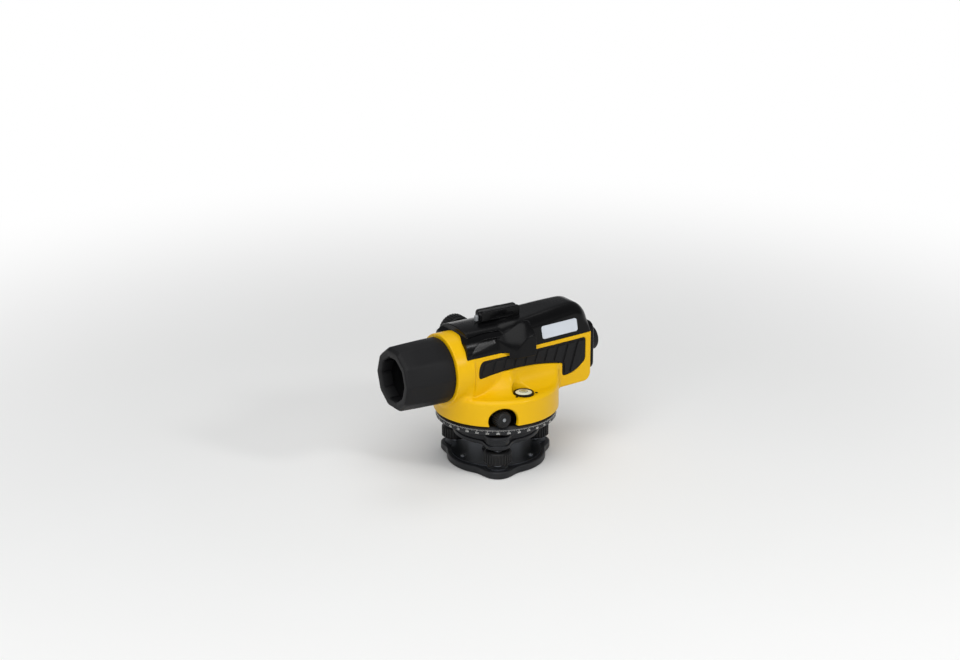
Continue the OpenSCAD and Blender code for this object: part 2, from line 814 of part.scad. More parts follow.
cap_screw_r = 1.4;
cap_head_r = 2.5;
cap_screw_end = wall - body_rear;
cap_half_w = body_rear_half_w - 2;
cap_low = axis_z - 24;
cap_high = axis_z + 23;
cap_round = 8;

// Children at the four rear cap screws
module at_cap_screws() {
    for (y = [-1, 1], z = [cap_low + 6, seam_z - 5])
        translate([0, y * (cap_half_w - 5.5), z - axis_z]) children();
}

// Rounded rectangle in Y and height
module cap_outline(inset, r) {
    w = cap_half_w - inset;
    polygon(concat(
        arc([w - r, cap_high - inset - r], r, 0, 90), arc([r - w, cap_high - inset - r], r, 90, 180),
        arc([r - w, cap_low + inset + r], r, 180, 270), arc([w - r, cap_low + inset + r], r, 270, 360)));
}

module rear_cap() {
    step = rear_cap_t * 0.45;
    color("#18191a") difference() {
        union() {
            drawn_x(rear_cap_x + step, -body_rear) cap_outline(0, cap_round);
            drawn_x(rear_cap_x, -body_rear) cap_outline(2.5, cap_round - 1);
        }
        bar_x(rear_cap_x - over, over - body_rear, eye_bush_r + seat_gap);
        at_cap_screws() {
            bar_x(rear_cap_x - over, over - body_rear, cap_screw_r + seat_gap);
            bar_x(rear_cap_x - over, rear_cap_x + 1.5, cap_head_r + seat_gap);
        }
    }
}

module rear_cap_screws() {
    color("#7d8085") at_cap_screws() {
        bar_x(rear_cap_x + 0.3, rear_cap_x + 1.5, cap_head_r);
        bar_x(rear_cap_x + 1, cap_screw_end, cap_screw_r);
    }
}

module left_grip_pad() {
    color("#1b1c1d") pad_solid();
}

module right_grip_pad() {
    color("#1b1c1d") mirror([0, 1, 0]) difference() {
        pad_solid();
        bar_y(focus_x, focus_z, 0, 2 * body_half_w, focus_bush_r + end_gap);
    }
}

// Bare plate on the leaning, tapered left side of the cover
module label_plate() {
    plate_back = 59;
    plate_up = 4;
    color("#c3c7cb") translate([taper_x, body_half_w, seam_z]) rotate([0, 0, taper_a]) rotate([cover_lean, 0, 0])
        translate([-plate_back - plate_len / 2, seat_gap, plate_up]) cube([plate_len, plate_t, plate_h]);
}

sight_mid = -1.5;

module sight() {
    x0 = sight_mid - sight_len / 2;
    x1 = x0 + sight_len;
    color("#17181a") difference() {
        drawn_y(-sight_w / 2, sight_w / 2) polygon([
            [x0, cover_z], [x1, cover_z], [x1 - 2, cover_z + sight_h * 0.8],
            [x1 - 6, cover_z + sight_h], [x0 + 1, cover_z + sight_h]]);
        drawn_x(x0 - over, x1 + over) polygon([
            [-2, cover_z + sight_h + over], [0, cover_z + sight_h * 0.55], [2, cover_z + sight_h + over]]);
    }
}

module sight_bead() {
    x1 = sight_mid + sight_len / 2;
    r = 2;
    color("#8a8d90") translate([x1 + r + seat_gap, 0, cover_z]) cylinder(r = r, h = sight_h * 0.6);
}

module bubble_housing() {
    color("#161718") translate([bubble_x, bubble_y, bubble_seat_z - bubble_deep]) difference() {
        cylinder(r = bubble_r, h = bubble_deep + 1.2);
        translate([0, 0, 1.2]) cylinder(r = bubble_r - 2, h = 2 * bubble_deep);
    }
}

module bubble_vial() {
    r = bubble_r - 2 - seat_gap;
    crown = 2.5 * bubble_r;
    color("#dfe6cf") translate([bubble_x, bubble_y, bubble_seat_z - bubble_deep + 1.2]) intersection() {
        cylinder(r = r, h = bubble_deep + 2);
        translate([0, 0, bubble_deep + 1 - crown]) sphere(r = crown);
    }
}

module bubble_screws() {
    color("#2c2d2f") translate([bubble_x, bubble_y, bubble_seat_z]) at_bubble_screws()
        translate([0, 0, 0.3 - bubble_deep]) cylinder(r = bubble_screw_r, h = bubble_deep);
}

cell_front = collar_front + 6;

module objective_hood() {
    rear = collar_front + seat_gap;
    rim = 3;
    long = hood_front - rear - rim;
    color("#1a1b1c") difference() {
        translate([rear, 0, axis_z]) rotate([0, 90, 0]) rotate([0, 0, 180 / hood_flats]) {
            cylinder(r1 = hood_rear_r, r2 = hood_front_r, h = long, $fn = hood_flats);
            translate([0, 0, long]) cylinder(r1 = hood_front_r, r2 = hood_front_r - 2, h = rim, $fn = hood_flats);
        }
        translate([rear, 0, axis_z]) rotate([0, 90, 0]) rotate([0, 0, 180 / hood_flats])
            cylinder(r = mouth_r / cos(180 / hood_flats), h = long + rim + over, $fn = hood_flats);
        bar_x(rear - over, hood_front - mouth_deep, hood_bore_r);
        bar_x(rear - over, cell_front + seat_gap, cell_r + seat_gap);
    }
}

module objective_cell() {
    color("#202123") tube_x(cell_rear, cell_front, cell_r, lens_r + seat_gap);
}

module objective_lens() {
    curve_r = 3 * lens_r;
    mid = cell_front - 6;
    half_t = 4.5;
    color("#9fb7c4") intersection() {
        bar_x(mid - half_t, mid + half_t, lens_r);
        translate([mid + half_t - curve_r, 0, axis_z]) sphere(r = curve_r, $fn = 96);
        translate([mid - half_t + curve_r, 0, axis_z]) sphere(r = curve_r, $fn = 96);
    }
}

carriage_half = 12;
rack_half_w = 3;
rack_high = 0.5;
rack_low = 0.7;
tooth_step = 2 * PI * pinion_r / pinion_teeth;

module telescope_tube() {
    flange_r = cell_r + 0.8;
    flange_t = 4;
    front = cell_rear - seat_gap;
    slot_half = carriage_half + focus_travel + 1;
    color("#2b2c2e") difference() {
        union() {
            tube_x(tube_rear, front, tube_r, tube_bore_r);
            tube_x(front - flange_t, front, flange_r, tube_bore_r);
        }
        translate([focus_x - slot_half, -rack_half_w - end_gap, axis_z])
            cube([2 * slot_half, 2 * (rack_half_w + end_gap), 2 * tube_r]);
    }
}

// Rack outline in X and height, with a gap under the pinion's middle
module rack_outline() {
    pitch_z = focus_z - pinion_r;
    count = floor(carriage_half / tooth_step) - 1;
    polygon(concat(
        [[focus_x - carriage_half, pitch_z - rack_low], [focus_x - carriage_half, axis_z + tube_bore_r - 3],
         [focus_x + carriage_half, axis_z + tube_bore_r - 3], [focus_x + carriage_half, pitch_z - rack_low]],
        [for (i = [count:-1:-count - 1]) let (x = (i + 0.5) * tooth_step + focus_x)
            for (p = [[0.26, -rack_low], [0.12, rack_high], [-0.12, rack_high], [-0.26, -rack_low]])
                [x + p[0] * tooth_step, pitch_z + p[1]]]));
}

module focus_carriage() {
    color("#b5964f") difference() {
        union() {
            bar_x(focus_x - carriage_half, focus_x + carriage_half, tube_bore_r - run_gap);
            drawn_y(-rack_half_w, rack_half_w) rack_outline();
        }
        bar_x(focus_x - carriage_half - over, focus_x + carriage_half + over, focus_lens_r + seat_gap);
    }
}

focus_lens_r = 8;

module focus_lens() {
    x0 = focus_x + carriage_half - 6;
    color("#a9c0cc") difference() {
        bar_x(x0, x0 + 4, focus_lens_r);
        translate([x0 - 18, 0, axis_z]) sphere(r = 19.2);
    }
}

focus_knob_y = -body_half_w - lug_out - end_gap;

module focus_pinion() {
    half_w = 2.5;
    tail = focus_knob_y - focus_knob_len + 3;
    color("#9b9ea3") {
        translate([focus_x, 0, focus_z]) drawn_y(-half_w, half_w) rotate(-90)
            polygon(gear_points(pinion_r, pinion_teeth, rack_high, rack_low, 0.12, 0.26));
        bar_y(focus_x, focus_z, tail, half_w, focus_shaft_r);
    }
}

focus_shaft_r = 2;

module focus_knob() {
    y0 = focus_knob_y - focus_knob_len;
    flutes = 20;
    edge = 1.2;
    color("#1c1d1e") difference() {
        union() {
            bar_y(focus_x, focus_z, y0 + edge, focus_knob_y, focus_knob_r);
            bar_y(focus_x, focus_z, y0, focus_knob_y, focus_knob_r - edge);
        }
        bar_y(focus_x, focus_z, y0 + 3 - seat_gap, focus_knob_y + over, focus_shaft_r + seat_gap);
        for (k = [0:flutes - 1]) let (a = 360 * k / flutes)
            bar_y(focus_x + (focus_knob_r + 0.4) * cos(a), focus_z + (focus_knob_r + 0.4) * sin(a),
                  y0 - over, focus_knob_y - 3, 1.1);
    }
}

module focus_bush() {
    color("#b08d45") difference() {
        bar_y(focus_x, focus_z, -body_half_w - lug_out, wall + 4 - body_half_w, focus_bush_r);
        bar_y(focus_x, focus_z, -2 * body_half_w, 0, focus_shaft_r + run_gap);
    }
}

comp_wall = 2.5;
comp_top = axis_z + 14;
bar_low = comp_top - 3;
pendulum_top = axis_z + 3;
pendulum_drop = 12;
pendulum_low = axis_z - pendulum_drop;

module compensator_frame() {
    tall = comp_top - floor_z;
    side_x = pivot_x - 5;
    color("#8e9196") {
        translate([comp_x, -comp_half_w, floor_z]) cube([comp_len, 2 * comp_half_w, comp_wall]);
        for (s = [0, 1]) mirror([0, s, 0])
            translate([side_x, comp_half_w - comp_wall, floor_z]) cube([10, comp_wall, tall]);
        translate([pivot_x - 3, -comp_half_w, bar_low]) cube([6, 2 * comp_half_w, comp_top - bar_low]);
        translate([comp_x + comp_len - 6, -roof_half_w, floor_z]) cube([6, 2 * roof_half_w, roof_low - floor_z]);
    }
}

roof_half_w = 7;
roof_low = axis_z - 9;

module roof_prism() {
    x1 = comp_x + comp_len;
    color("#b7ccd6") drawn_y(-roof_half_w, roof_half_w)
        polygon([[x1 - 6, roof_low], [x1, roof_low], [x1, roof_low + 18], [x1 - 6, roof_low + 12]]);
}

module suspension_tapes() {
    thin = 0.2;
    low = pendulum_top + end_gap;
    color("#c9ccd0") for (s = [-1, 1])
        translate([pivot_x - thin / 2, s * pendulum_half_w / 2 - 1.5, low]) cube([thin, 3, bar_low - low]);
}

module pendulum() {
    color("#b5964f") difference() {
        translate([pivot_x - pendulum_len / 2, -pendulum_half_w, pendulum_low])
            cube([pendulum_len, 2 * pendulum_half_w, pendulum_top - pendulum_low]);
        translate([0, 0, -4]) bar_x(pivot_x - pendulum_len, pivot_x + pendulum_len, 5);
    }
}

module pendulum_prism() {
    x1 = pivot_x - pendulum_len / 2;
    half = 6;
    color("#b7ccd6") drawn_y(-half, half)
        polygon([[x1, pendulum_low + 1], [x1, pendulum_low + 13], [x1 - 7, pendulum_low + 1]]);
}

vane_low = floor_z + comp_wall + 1;

module damping_vane() {
    color("#b87333") translate([pivot_x - 5, -0.7, vane_low]) cube([10, 1.4, pendulum_low - vane_low]);
}

module damping_magnets() {
    color("#55585c") for (s = [0, 1]) mirror([0, s, 0])
        translate([pivot_x - 5, 1.6, floor_z + comp_wall]) cube([10, 4, pendulum_low - floor_z - comp_wall - 2]);
}

eye_bush_front = 16 - body_rear;
reticle_t = 3.5;
reticle_r = 6;

module reticle_cell() {
    color("#202123") tube_x(eye_bush_front - reticle_t, eye_bush_front, eye_cell_r, reticle_r + seat_gap);
}

module reticle_glass() {
    color("#b7ccd6") bar_x(eye_bush_front - 2.5, eye_bush_front - 1, reticle_r);
}

module eyepiece_bush() {
    color("#b08d45") tube_x(rear_cap_x, eye_bush_front, eye_bush_r, eye_cell_r + run_gap);
}

eye_cell_front = eye_bush_front - reticle_t - eye_travel - 0.5;
eye_lens_r = eye_cell_r - 2.5;

module eyepiece_cell() {
    color("#26272a") tube_x(eye_ring_x, eye_cell_front, eye_cell_r, eye_lens_r + seat_gap);
}

module eye_lenses() {
    thick = 3.5;
    color("#a9c0cc") for (x = [eye_ring_x + 2, eye_ring_x + 9]) intersection() {
        bar_x(x, x + thick, eye_lens_r);
        translate([x + 14, 0, axis_z]) sphere(r = 14);
    }
}

module eyepiece_ring() {
    flutes = 24;
    color("#1a1b1c") difference() {
        tube_x(eye_ring_x, eye_ring_x + eye_ring_len, eye_ring_r, eye_cell_r + run_gap);
        for (k = [0:flutes - 1]) rotate_about_sight(360 * k / flutes)
            translate([0, 0, eye_ring_r + 0.2]) bar_x(eye_ring_x + 1, eye_ring_x + eye_ring_len + over, 0.7);
    }
}

// Turns children about the line of sight
module rotate_about_sight(a) {
    translate([0, 0, axis_z]) rotate([a, 0, 0]) translate([0, 0, -axis_z]) children();
}

module eyecup() {
    lip = 1.2;
    color("#161718") translate([eye_ring_x, 0, axis_z]) rotate([0, -90, 0]) rotate_extrude() polygon([
        [eye_cell_r - 1, 0], [eye_ring_r - 1, 0], [eye_ring_r - 2, eyecup_len - lip],
        [eye_ring_r - 2 - lip, eyecup_len], [eye_cell_r, eyecup_len]]);
}

base_plate();
spring_plate();
spring_plate_screws();
foot_pad(1);  // foot_pad_1
foot_pad(2);  // foot_pad_2
foot_pad(3);  // foot_pad_3
foot_screw(1);  // foot_screw_1
foot_screw(2);  // foot_screw_2
foot_screw(3);  // foot_screw_3
foot_knob(1);  // foot_knob_1
foot_knob(2);  // foot_knob_2
foot_knob(3);  // foot_knob_3
tribrach();
foot_screw_bushes();
axle_sleeve();
retaining_ring();
horizontal_circle();
worm_wheel();
clutch_washer();
worm_shaft();
drive_knob_left();
drive_knob_right();
worm_bracket();
spindle();
main_housing();
top_cover();
rear_cap();
rear_cap_screws();
left_grip_pad();
right_grip_pad();
label_plate();
sight();
sight_bead();
bubble_housing();
bubble_vial();
bubble_screws();
objective_hood();
objective_cell();
objective_lens();
telescope_tube();
focus_carriage();
focus_lens();
focus_pinion();
focus_knob();
focus_bush();
compensator_frame();
suspension_tapes();
pendulum();
pendulum_prism();
damping_vane();
damping_magnets();
roof_prism();
reticle_cell();
reticle_glass();
eyepiece_bush();
eyepiece_cell();
eye_lenses();
eyepiece_ring();
eyecup();
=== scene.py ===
# %% [markdown]
# # Automatic level
# A surveyor's automatic level: a short telescope in a yellow housing with a black top
# cover, standing on a three-screw levelling base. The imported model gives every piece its
# place, so nothing is fitted by eye. The camera comes first, because the rest of the lesson
# is judged from it.

# %% Load the model
import math

import bmesh
import bpy
import numpy as np
from mathutils import Matrix, Vector


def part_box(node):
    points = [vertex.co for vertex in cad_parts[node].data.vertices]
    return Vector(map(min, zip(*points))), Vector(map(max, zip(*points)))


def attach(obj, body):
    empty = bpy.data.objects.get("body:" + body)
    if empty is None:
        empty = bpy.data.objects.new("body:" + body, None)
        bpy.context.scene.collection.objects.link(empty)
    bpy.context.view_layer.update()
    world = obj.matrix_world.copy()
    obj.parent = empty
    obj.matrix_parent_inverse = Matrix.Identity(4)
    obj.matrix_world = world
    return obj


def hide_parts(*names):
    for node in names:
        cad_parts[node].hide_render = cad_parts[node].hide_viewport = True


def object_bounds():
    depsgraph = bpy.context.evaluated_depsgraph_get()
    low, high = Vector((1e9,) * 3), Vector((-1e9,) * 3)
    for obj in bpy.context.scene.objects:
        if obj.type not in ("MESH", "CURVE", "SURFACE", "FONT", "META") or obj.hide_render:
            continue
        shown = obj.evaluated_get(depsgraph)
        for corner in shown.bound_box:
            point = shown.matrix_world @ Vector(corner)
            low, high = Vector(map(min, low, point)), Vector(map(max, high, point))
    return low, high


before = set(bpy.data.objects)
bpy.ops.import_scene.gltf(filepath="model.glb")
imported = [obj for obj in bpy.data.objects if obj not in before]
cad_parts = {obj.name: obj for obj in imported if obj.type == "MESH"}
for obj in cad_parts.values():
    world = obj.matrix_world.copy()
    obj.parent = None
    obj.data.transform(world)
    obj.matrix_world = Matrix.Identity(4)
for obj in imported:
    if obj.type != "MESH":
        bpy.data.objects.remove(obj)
cad_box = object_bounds()
scene = bpy.context.scene
scene.view_settings.view_transform = "Standard"

# %% [markdown]
# ## Camera
# The level is seen from its left front and a little from above. The angles were read from the
# ellipse of the circular bubble and the round skirt. A small shift frames the level where it
# stands in the picture, so the lens axis still points at the level.

# %% Camera
MM = 0.001
TURN, RISE, DISTANCE = math.radians(58.0), math.radians(21.5), 2.0
TARGET = Vector((0, 0, 51.8 * MM))
PICTURE_W, PICTURE_H = 960, 660
TARGET_PX = Vector((496, 404))
PX_PER_MM = 1.08


def direction(turn, rise):
    """The unit vector at an angle round Z and an angle above the floor."""
    return Vector((math.cos(turn) * math.cos(rise), math.sin(turn) * math.cos(rise), math.sin(rise)))


towards = direction(TURN, RISE)
camera_data = bpy.data.cameras.new("camera")
camera = bpy.data.objects.new("camera", camera_data)
scene.collection.objects.link(camera)
camera.location = TARGET + towards * DISTANCE
camera.rotation_euler = towards.to_track_quat("Z", "Y").to_euler()
camera_data.sensor_fit = "HORIZONTAL"
camera_data.sensor_width = 36.0
camera_data.lens = PX_PER_MM / MM * DISTANCE * camera_data.sensor_width / PICTURE_W
camera_data.shift_x = (PICTURE_W / 2 - TARGET_PX.x) / PICTURE_W
camera_data.shift_y = (TARGET_PX.y - PICTURE_H / 2) / PICTURE_W
camera_data.clip_start, camera_data.clip_end = 0.05, 20
scene.camera = camera
print(f"lens {camera_data.lens:.1f} mm, shift {camera_data.shift_x:.4f}, {camera_data.shift_y:.4f}")

# %% [markdown]
# ## Nodes and colours
# A material is a small graph. One function adds a node, sets its values and links its inputs,
# so that each finish below reads like a recipe. Colours are written as they look on a screen
# and one function turns them into the linear values that the shader works with.

# %% Helpers for materials
def linear(hex_colour):
    """The shader's linear colour for an sRGB hex value."""
    channels = [int(hex_colour[i:i + 2], 16) / 255 for i in (1, 3, 5)]
    return [c / 12.92 if c <= 0.04045 else ((c + 0.055) / 1.055) ** 2.4 for c in channels] + [1.0]


def feed(tree, node, **inputs):
    """Sets a node's inputs, by name or by number, to values, or links them to the sockets given."""
    for name, value in inputs.items():
        key = int(name[1:]) if name[0] == "i" and name[1:].isdigit() else name.replace("_", " ")
        if isinstance(value, bpy.types.NodeSocket):
            tree.links.new(value, node.inputs[key])
        else:
            node.inputs[key].default_value = value


def add(tree, kind, settings=None, **inputs):
    """Adds a node. settings are its properties; inputs are values, or the sockets that feed them."""
    node = tree.nodes.new(kind)
    for name, value in (settings or {}).items():
        setattr(node, name, value)
    feed(tree, node, **inputs)
    return node


def new_material(name):
    """A node material, its tree, its shader and coordinates in metres that stay with the piece."""
    material = bpy.data.materials.new(name)
    material.use_nodes = True
    tree = material.node_tree
    coords = add(tree, "ShaderNodeTexCoord").outputs["Object"]
    return material, tree, tree.nodes["Principled BSDF"], coords


print("mid grey:", [round(c, 3) for c in linear("#808080")])

# %% [markdown]
# ## Yellow housing paint
# The housing is a die casting with baked yellow enamel. Enamel is smooth and half glossy, with
# a fine orange peel that only shows where a highlight crosses it. Handling leaves faint dull
# patches, so the roughness wanders a little. Inside, the colour is painted shade: it turns near
# black with the distance from the vertical axis, below the deck, where the hollow lies in shade.

# %% Yellow enamel
PAINTED_SHADE_R, PAINTED_SHADE_Z = 54.4 * MM, 66.8 * MM
PATCHES_PER_MM, PEEL_PER_MM = 0.02, 0.9


def yellow_enamel():
    """Yellow paint outside; painted shade, near black, within a radius of the vertical axis and below a
    height.
    """
    material, tree, shader, coords = new_material("yellow_baked_enamel")
    noise = add(tree, "ShaderNodeTexNoise", Vector=coords, Scale=PATCHES_PER_MM / MM, Detail=2.0)
    patches = noise.outputs["Fac"]
    dull = add(tree, "ShaderNodeMapRange", Value=patches, To_Min=0.30, To_Max=0.42)
    paint = add(tree, "ShaderNodeMix", {"data_type": "RGBA"}, Factor=patches,
                i6=linear("#e6b200"), i7=linear("#eab902"))
    axis = add(tree, "ShaderNodeVectorMath", {"operation": "MULTIPLY"}, i0=coords, i1=(1, 1, 0))
    reach = add(tree, "ShaderNodeVectorMath", {"operation": "LENGTH"}, i0=axis.outputs[0])
    height = add(tree, "ShaderNodeSeparateXYZ", Vector=coords)
    # Painted shade: the colour turns near black inside this radius and below this height.
    inner = add(tree, "ShaderNodeMath", {"operation": "LESS_THAN"}, i0=reach.outputs["Value"], i1=PAINTED_SHADE_R)
    below = add(tree, "ShaderNodeMath", {"operation": "LESS_THAN"}, i0=height.outputs["Z"], i1=PAINTED_SHADE_Z)
    painted_shade = add(tree, "ShaderNodeMath", {"operation": "MULTIPLY"}, i0=inner.outputs[0], i1=below.outputs[0])
    colour = add(tree, "ShaderNodeMix", {"data_type": "RGBA"}, Factor=painted_shade.outputs[0],
                 i6=paint.outputs[2], i7=linear("#1d1d1e"))
    peel = add(tree, "ShaderNodeTexNoise", Vector=coords, Scale=PEEL_PER_MM / MM, Detail=2.0)
    relief = add(tree, "ShaderNodeBump", Height=peel.outputs["Fac"], Strength=0.25, Distance=0.02 * MM)
    feed(tree, shader, IOR=1.5, Specular_IOR_Level=0.2, Coat_Weight=0.04, Coat_Roughness=0.12,
         Roughness=dull.outputs["Result"], Base_Color=colour.outputs[2], Normal=relief.outputs["Normal"])
    return material


YELLOW = yellow_enamel()
print(YELLOW.name)

# %% [markdown]
# ## Plastics and rubber
# The top cover is moulded ABS with a polished look: it is almost black and shows sharp
# highlights along its edges. Knobs have a finer, duller mould texture. The grips, the hood and
# the eyecup are rubber, which scatters light, so they are rough, a little paler, and have a
# grain that shows up close. A real mould grain is a few tenths of a millimetre wide, which is
# too fine for the render, so it is drawn coarser.

# %% Black plastics and rubber
def moulded(name, dark, pale, rough, grain_mm, depth_mm, strength, **extra):
    """A moulded polymer: two close colours, a roughness range and a mould grain."""
    material, tree, shader, coords = new_material(name)
    patches = add(tree, "ShaderNodeTexNoise", Vector=coords, Scale=0.03 / MM, Detail=2.0).outputs["Fac"]
    colour = add(tree, "ShaderNodeMix", {"data_type": "RGBA"}, Factor=patches,
                 i6=linear(dark), i7=linear(pale))
    dull = add(tree, "ShaderNodeMapRange", Value=patches, To_Min=rough[0], To_Max=rough[1])
    grain = add(tree, "ShaderNodeTexNoise", Vector=coords, Scale=1 / grain_mm / MM, Detail=4.0)
    relief = add(tree, "ShaderNodeBump", Height=grain.outputs["Fac"], Strength=strength,
                 Distance=depth_mm * MM)
    feed(tree, shader, IOR=1.5, Roughness=dull.outputs["Result"], Base_Color=colour.outputs[2],
         Normal=relief.outputs["Normal"], **extra)
    return material


GLOSS_BLACK = moulded("black_polished_abs", "#070708", "#0c0c0d", (0.18, 0.26), 1.5, 0.01, 0.12,
                      Specular_IOR_Level=0.15)
KNOB_BLACK = moulded("black_textured_abs", "#0d0d0e", "#131314", (0.40, 0.52), 0.6, 0.02, 0.30,
                     Specular_IOR_Level=0.3)
RUBBER = moulded("black_moulded_rubber", "#0c0c0e", "#121214", (0.50, 0.62), 0.8, 0.04, 0.35,
                 Specular_IOR_Level=0.22)
HOOD_RUBBER = moulded("black_hood_rubber", "#0d0d0e", "#131315", (0.46, 0.60), 1.0, 0.03, 0.30,
                      Specular_IOR_Level=0.22)
print(GLOSS_BLACK.name, KNOB_BLACK.name, RUBBER.name, HOOD_RUBBER.name)

# %% [markdown]
# ## Metals
# Turned brass bushes and the steel screws carry fine tool marks round their axis, drawn here as
# bands of noise stretched in one direction. Real marks are about a tenth of a millimetre apart,
# too fine for the render, so they are drawn coarser. The base plate and the tribrach are aluminium
# with a black anodised skin, which is a matt metal rather than a paint.

# %% Metals
MARKS_PER_MM = 1.2


def turned_metal(name, colour, worn, rough, stretch, metallic=1.0):
    """Metal with tool marks: noise stretched along one direction."""
    material, tree, shader, coords = new_material(name)
    marks = add(tree, "ShaderNodeMapping", Vector=coords, Scale=stretch).outputs[0]
    lines = add(tree, "ShaderNodeTexNoise", Vector=marks, Scale=MARKS_PER_MM / MM, Detail=3.0).outputs["Fac"]
    shade = add(tree, "ShaderNodeMix", {"data_type": "RGBA"}, Factor=lines,
                i6=linear(colour), i7=linear(worn))
    dull = add(tree, "ShaderNodeMapRange", Value=lines, To_Min=rough[0], To_Max=rough[1])
    relief = add(tree, "ShaderNodeBump", Height=lines, Strength=0.15, Distance=0.01 * MM)
    feed(tree, shader, Metallic=metallic, Roughness=dull.outputs["Result"], Base_Color=shade.outputs[2],
         Normal=relief.outputs["Normal"])
    return material


BRASS = turned_metal("turned_brass", "#b08d45", "#c6a65c", (0.25, 0.40), (0.3, 0.3, 3.0))
STEEL = turned_metal("turned_steel", "#8d9095", "#a9acb0", (0.22, 0.38), (0.3, 0.3, 3.0))
BARE_ALUMINIUM = turned_metal("machined_aluminium", "#a4a7ab", "#c0c3c6", (0.28, 0.42), (3.0, 0.3, 0.3))
ANODISED = turned_metal("black_anodised_aluminium", "#1f2022", "#2a2b2e", (0.38, 0.52), (0.6, 0.6, 2.0), 0.6)
SPRING_STEEL = turned_metal("blued_spring_steel", "#5a5d63", "#71757b", (0.30, 0.42), (0.3, 3.0, 0.3))
COPPER = turned_metal("rolled_copper", "#b06a3c", "#c58055", (0.30, 0.42), (0.3, 3.0, 0.3))
print(BRASS.name, STEEL.name, ANODISED.name)

# %% [markdown]
# ## Glass, liquid and plate
# The objective is coated crown glass: it passes light and throws back a weak green-violet
# reflection, given here by a tinted coat. The bubble's liquid is a pale straw colour under a
# clear lid. The plate on the side is thin silver-grey polycarbonate with a soft sheen and stays
# bare.

# %% Glass, liquid and plate
def optical_glass(name, colour, coat):
    """Clear glass with a tinted coat."""
    material, tree, shader, coords = new_material(name)
    film = add(tree, "ShaderNodeTexNoise", Vector=coords, Scale=0.1 / MM, Detail=2.0)
    dull = add(tree, "ShaderNodeMapRange", Value=film.outputs["Fac"], To_Min=0.01, To_Max=0.03)
    feed(tree, shader, IOR=1.52, Transmission_Weight=1.0, Coat_Weight=0.6, Coat_Roughness=0.03,
         Coat_Tint=linear(coat), Base_Color=linear(colour), Roughness=dull.outputs["Result"])
    return material


OBJECTIVE_GLASS = optical_glass("coated_crown_glass", "#cfe0e2", "#8fd0b8")
PRISM_GLASS = optical_glass("polished_prism_glass", "#dfe8ea", "#ffffff")
VIAL_GLASS = optical_glass("vial_glass", "#f2f6ee", "#ffffff")
PALE_DISC = moulded("straw_bubble_liquid", "#d9dcc4", "#e4e6d2", (0.10, 0.16), 2.0, 0.01, 0.05)
PLATE_SILVER = moulded("silver_polycarbonate", "#cbd1d9", "#d6dbe2", (0.30, 0.40), 0.5, 0.01, 0.12,
                       Metallic=0.25)
WHITE_INK = moulded("white_engraving_paint", "#e6e6e2", "#f0f0ec", (0.45, 0.55), 0.6, 0.01, 0.10)
GREY_ABS = moulded("grey_abs", "#7c7f82", "#8a8d90", (0.35, 0.45), 0.8, 0.01, 0.15)
print(OBJECTIVE_GLASS.name, PLATE_SILVER.name)

# %% [markdown]
# ## Sculpting with distance fields
# The housing is one casting whose skirt, body and collar flow into each other, which boxes and
# bevels can't give. Here each form is a function that tells how far a point is from its surface,
# negative inside. Joining two fields with a radius makes a hollow fillet, and cutting with a
# radius makes a rounded edge, so the code reads like the pattern maker's drawing. The joined
# field is sampled on a grid, a skin is drawn where it changes sign, the skin is thinned, and
# every point is moved onto the exact surface. The normals come from the field as well, so the
# highlights are as smooth as on the real casting.

# %% Field helpers
def cut_round(a, b, radius):
    """What lies in both fields, with a rounded edge."""
    u, v = np.maximum(a + radius, 0), np.maximum(b + radius, 0)
    return np.minimum(np.maximum(a, b), -radius) + np.sqrt(u * u + v * v)


def join_round(a, b, radius):
    """What lies in either field, with a hollow fillet."""
    return -cut_round(-a, -b, radius)


def band(value, low, high):
    """The slab between two values."""
    return np.maximum(low - value, value - high)


def carve(form, *hollows):
    """What is left of a form when hollows with sharp edges are taken out of it."""
    for hollow in hollows:
        form = np.maximum(form, -hollow)
    return form


print(f"a radius of 2 mm takes {cut_round(0, 0, 2):.2f} mm off a square corner")

# %% Skin of a field
# The two ends of a cell's twelve edges, four along each axis.
EDGE_ENDS = [tuple(np.insert((u, v), axis, end) for end in (0, 1))
             for axis in range(3) for v in (0, 1) for u in (0, 1)]
SLICE = 16


def sample(field, low, high, step):
    """The field on a grid, slice by slice to save memory."""
    axes = [np.arange(a, b + s, s, dtype=np.float32) for a, b, s in zip(low, high, step)]
    y, z = axes[1][None, :, None], axes[2][None, None, :]
    parts = [field(x[:, None, None], y, z) for x in np.array_split(axes[0], max(1, len(axes[0]) // SLICE))]
    return np.concatenate(parts).astype(np.float32)


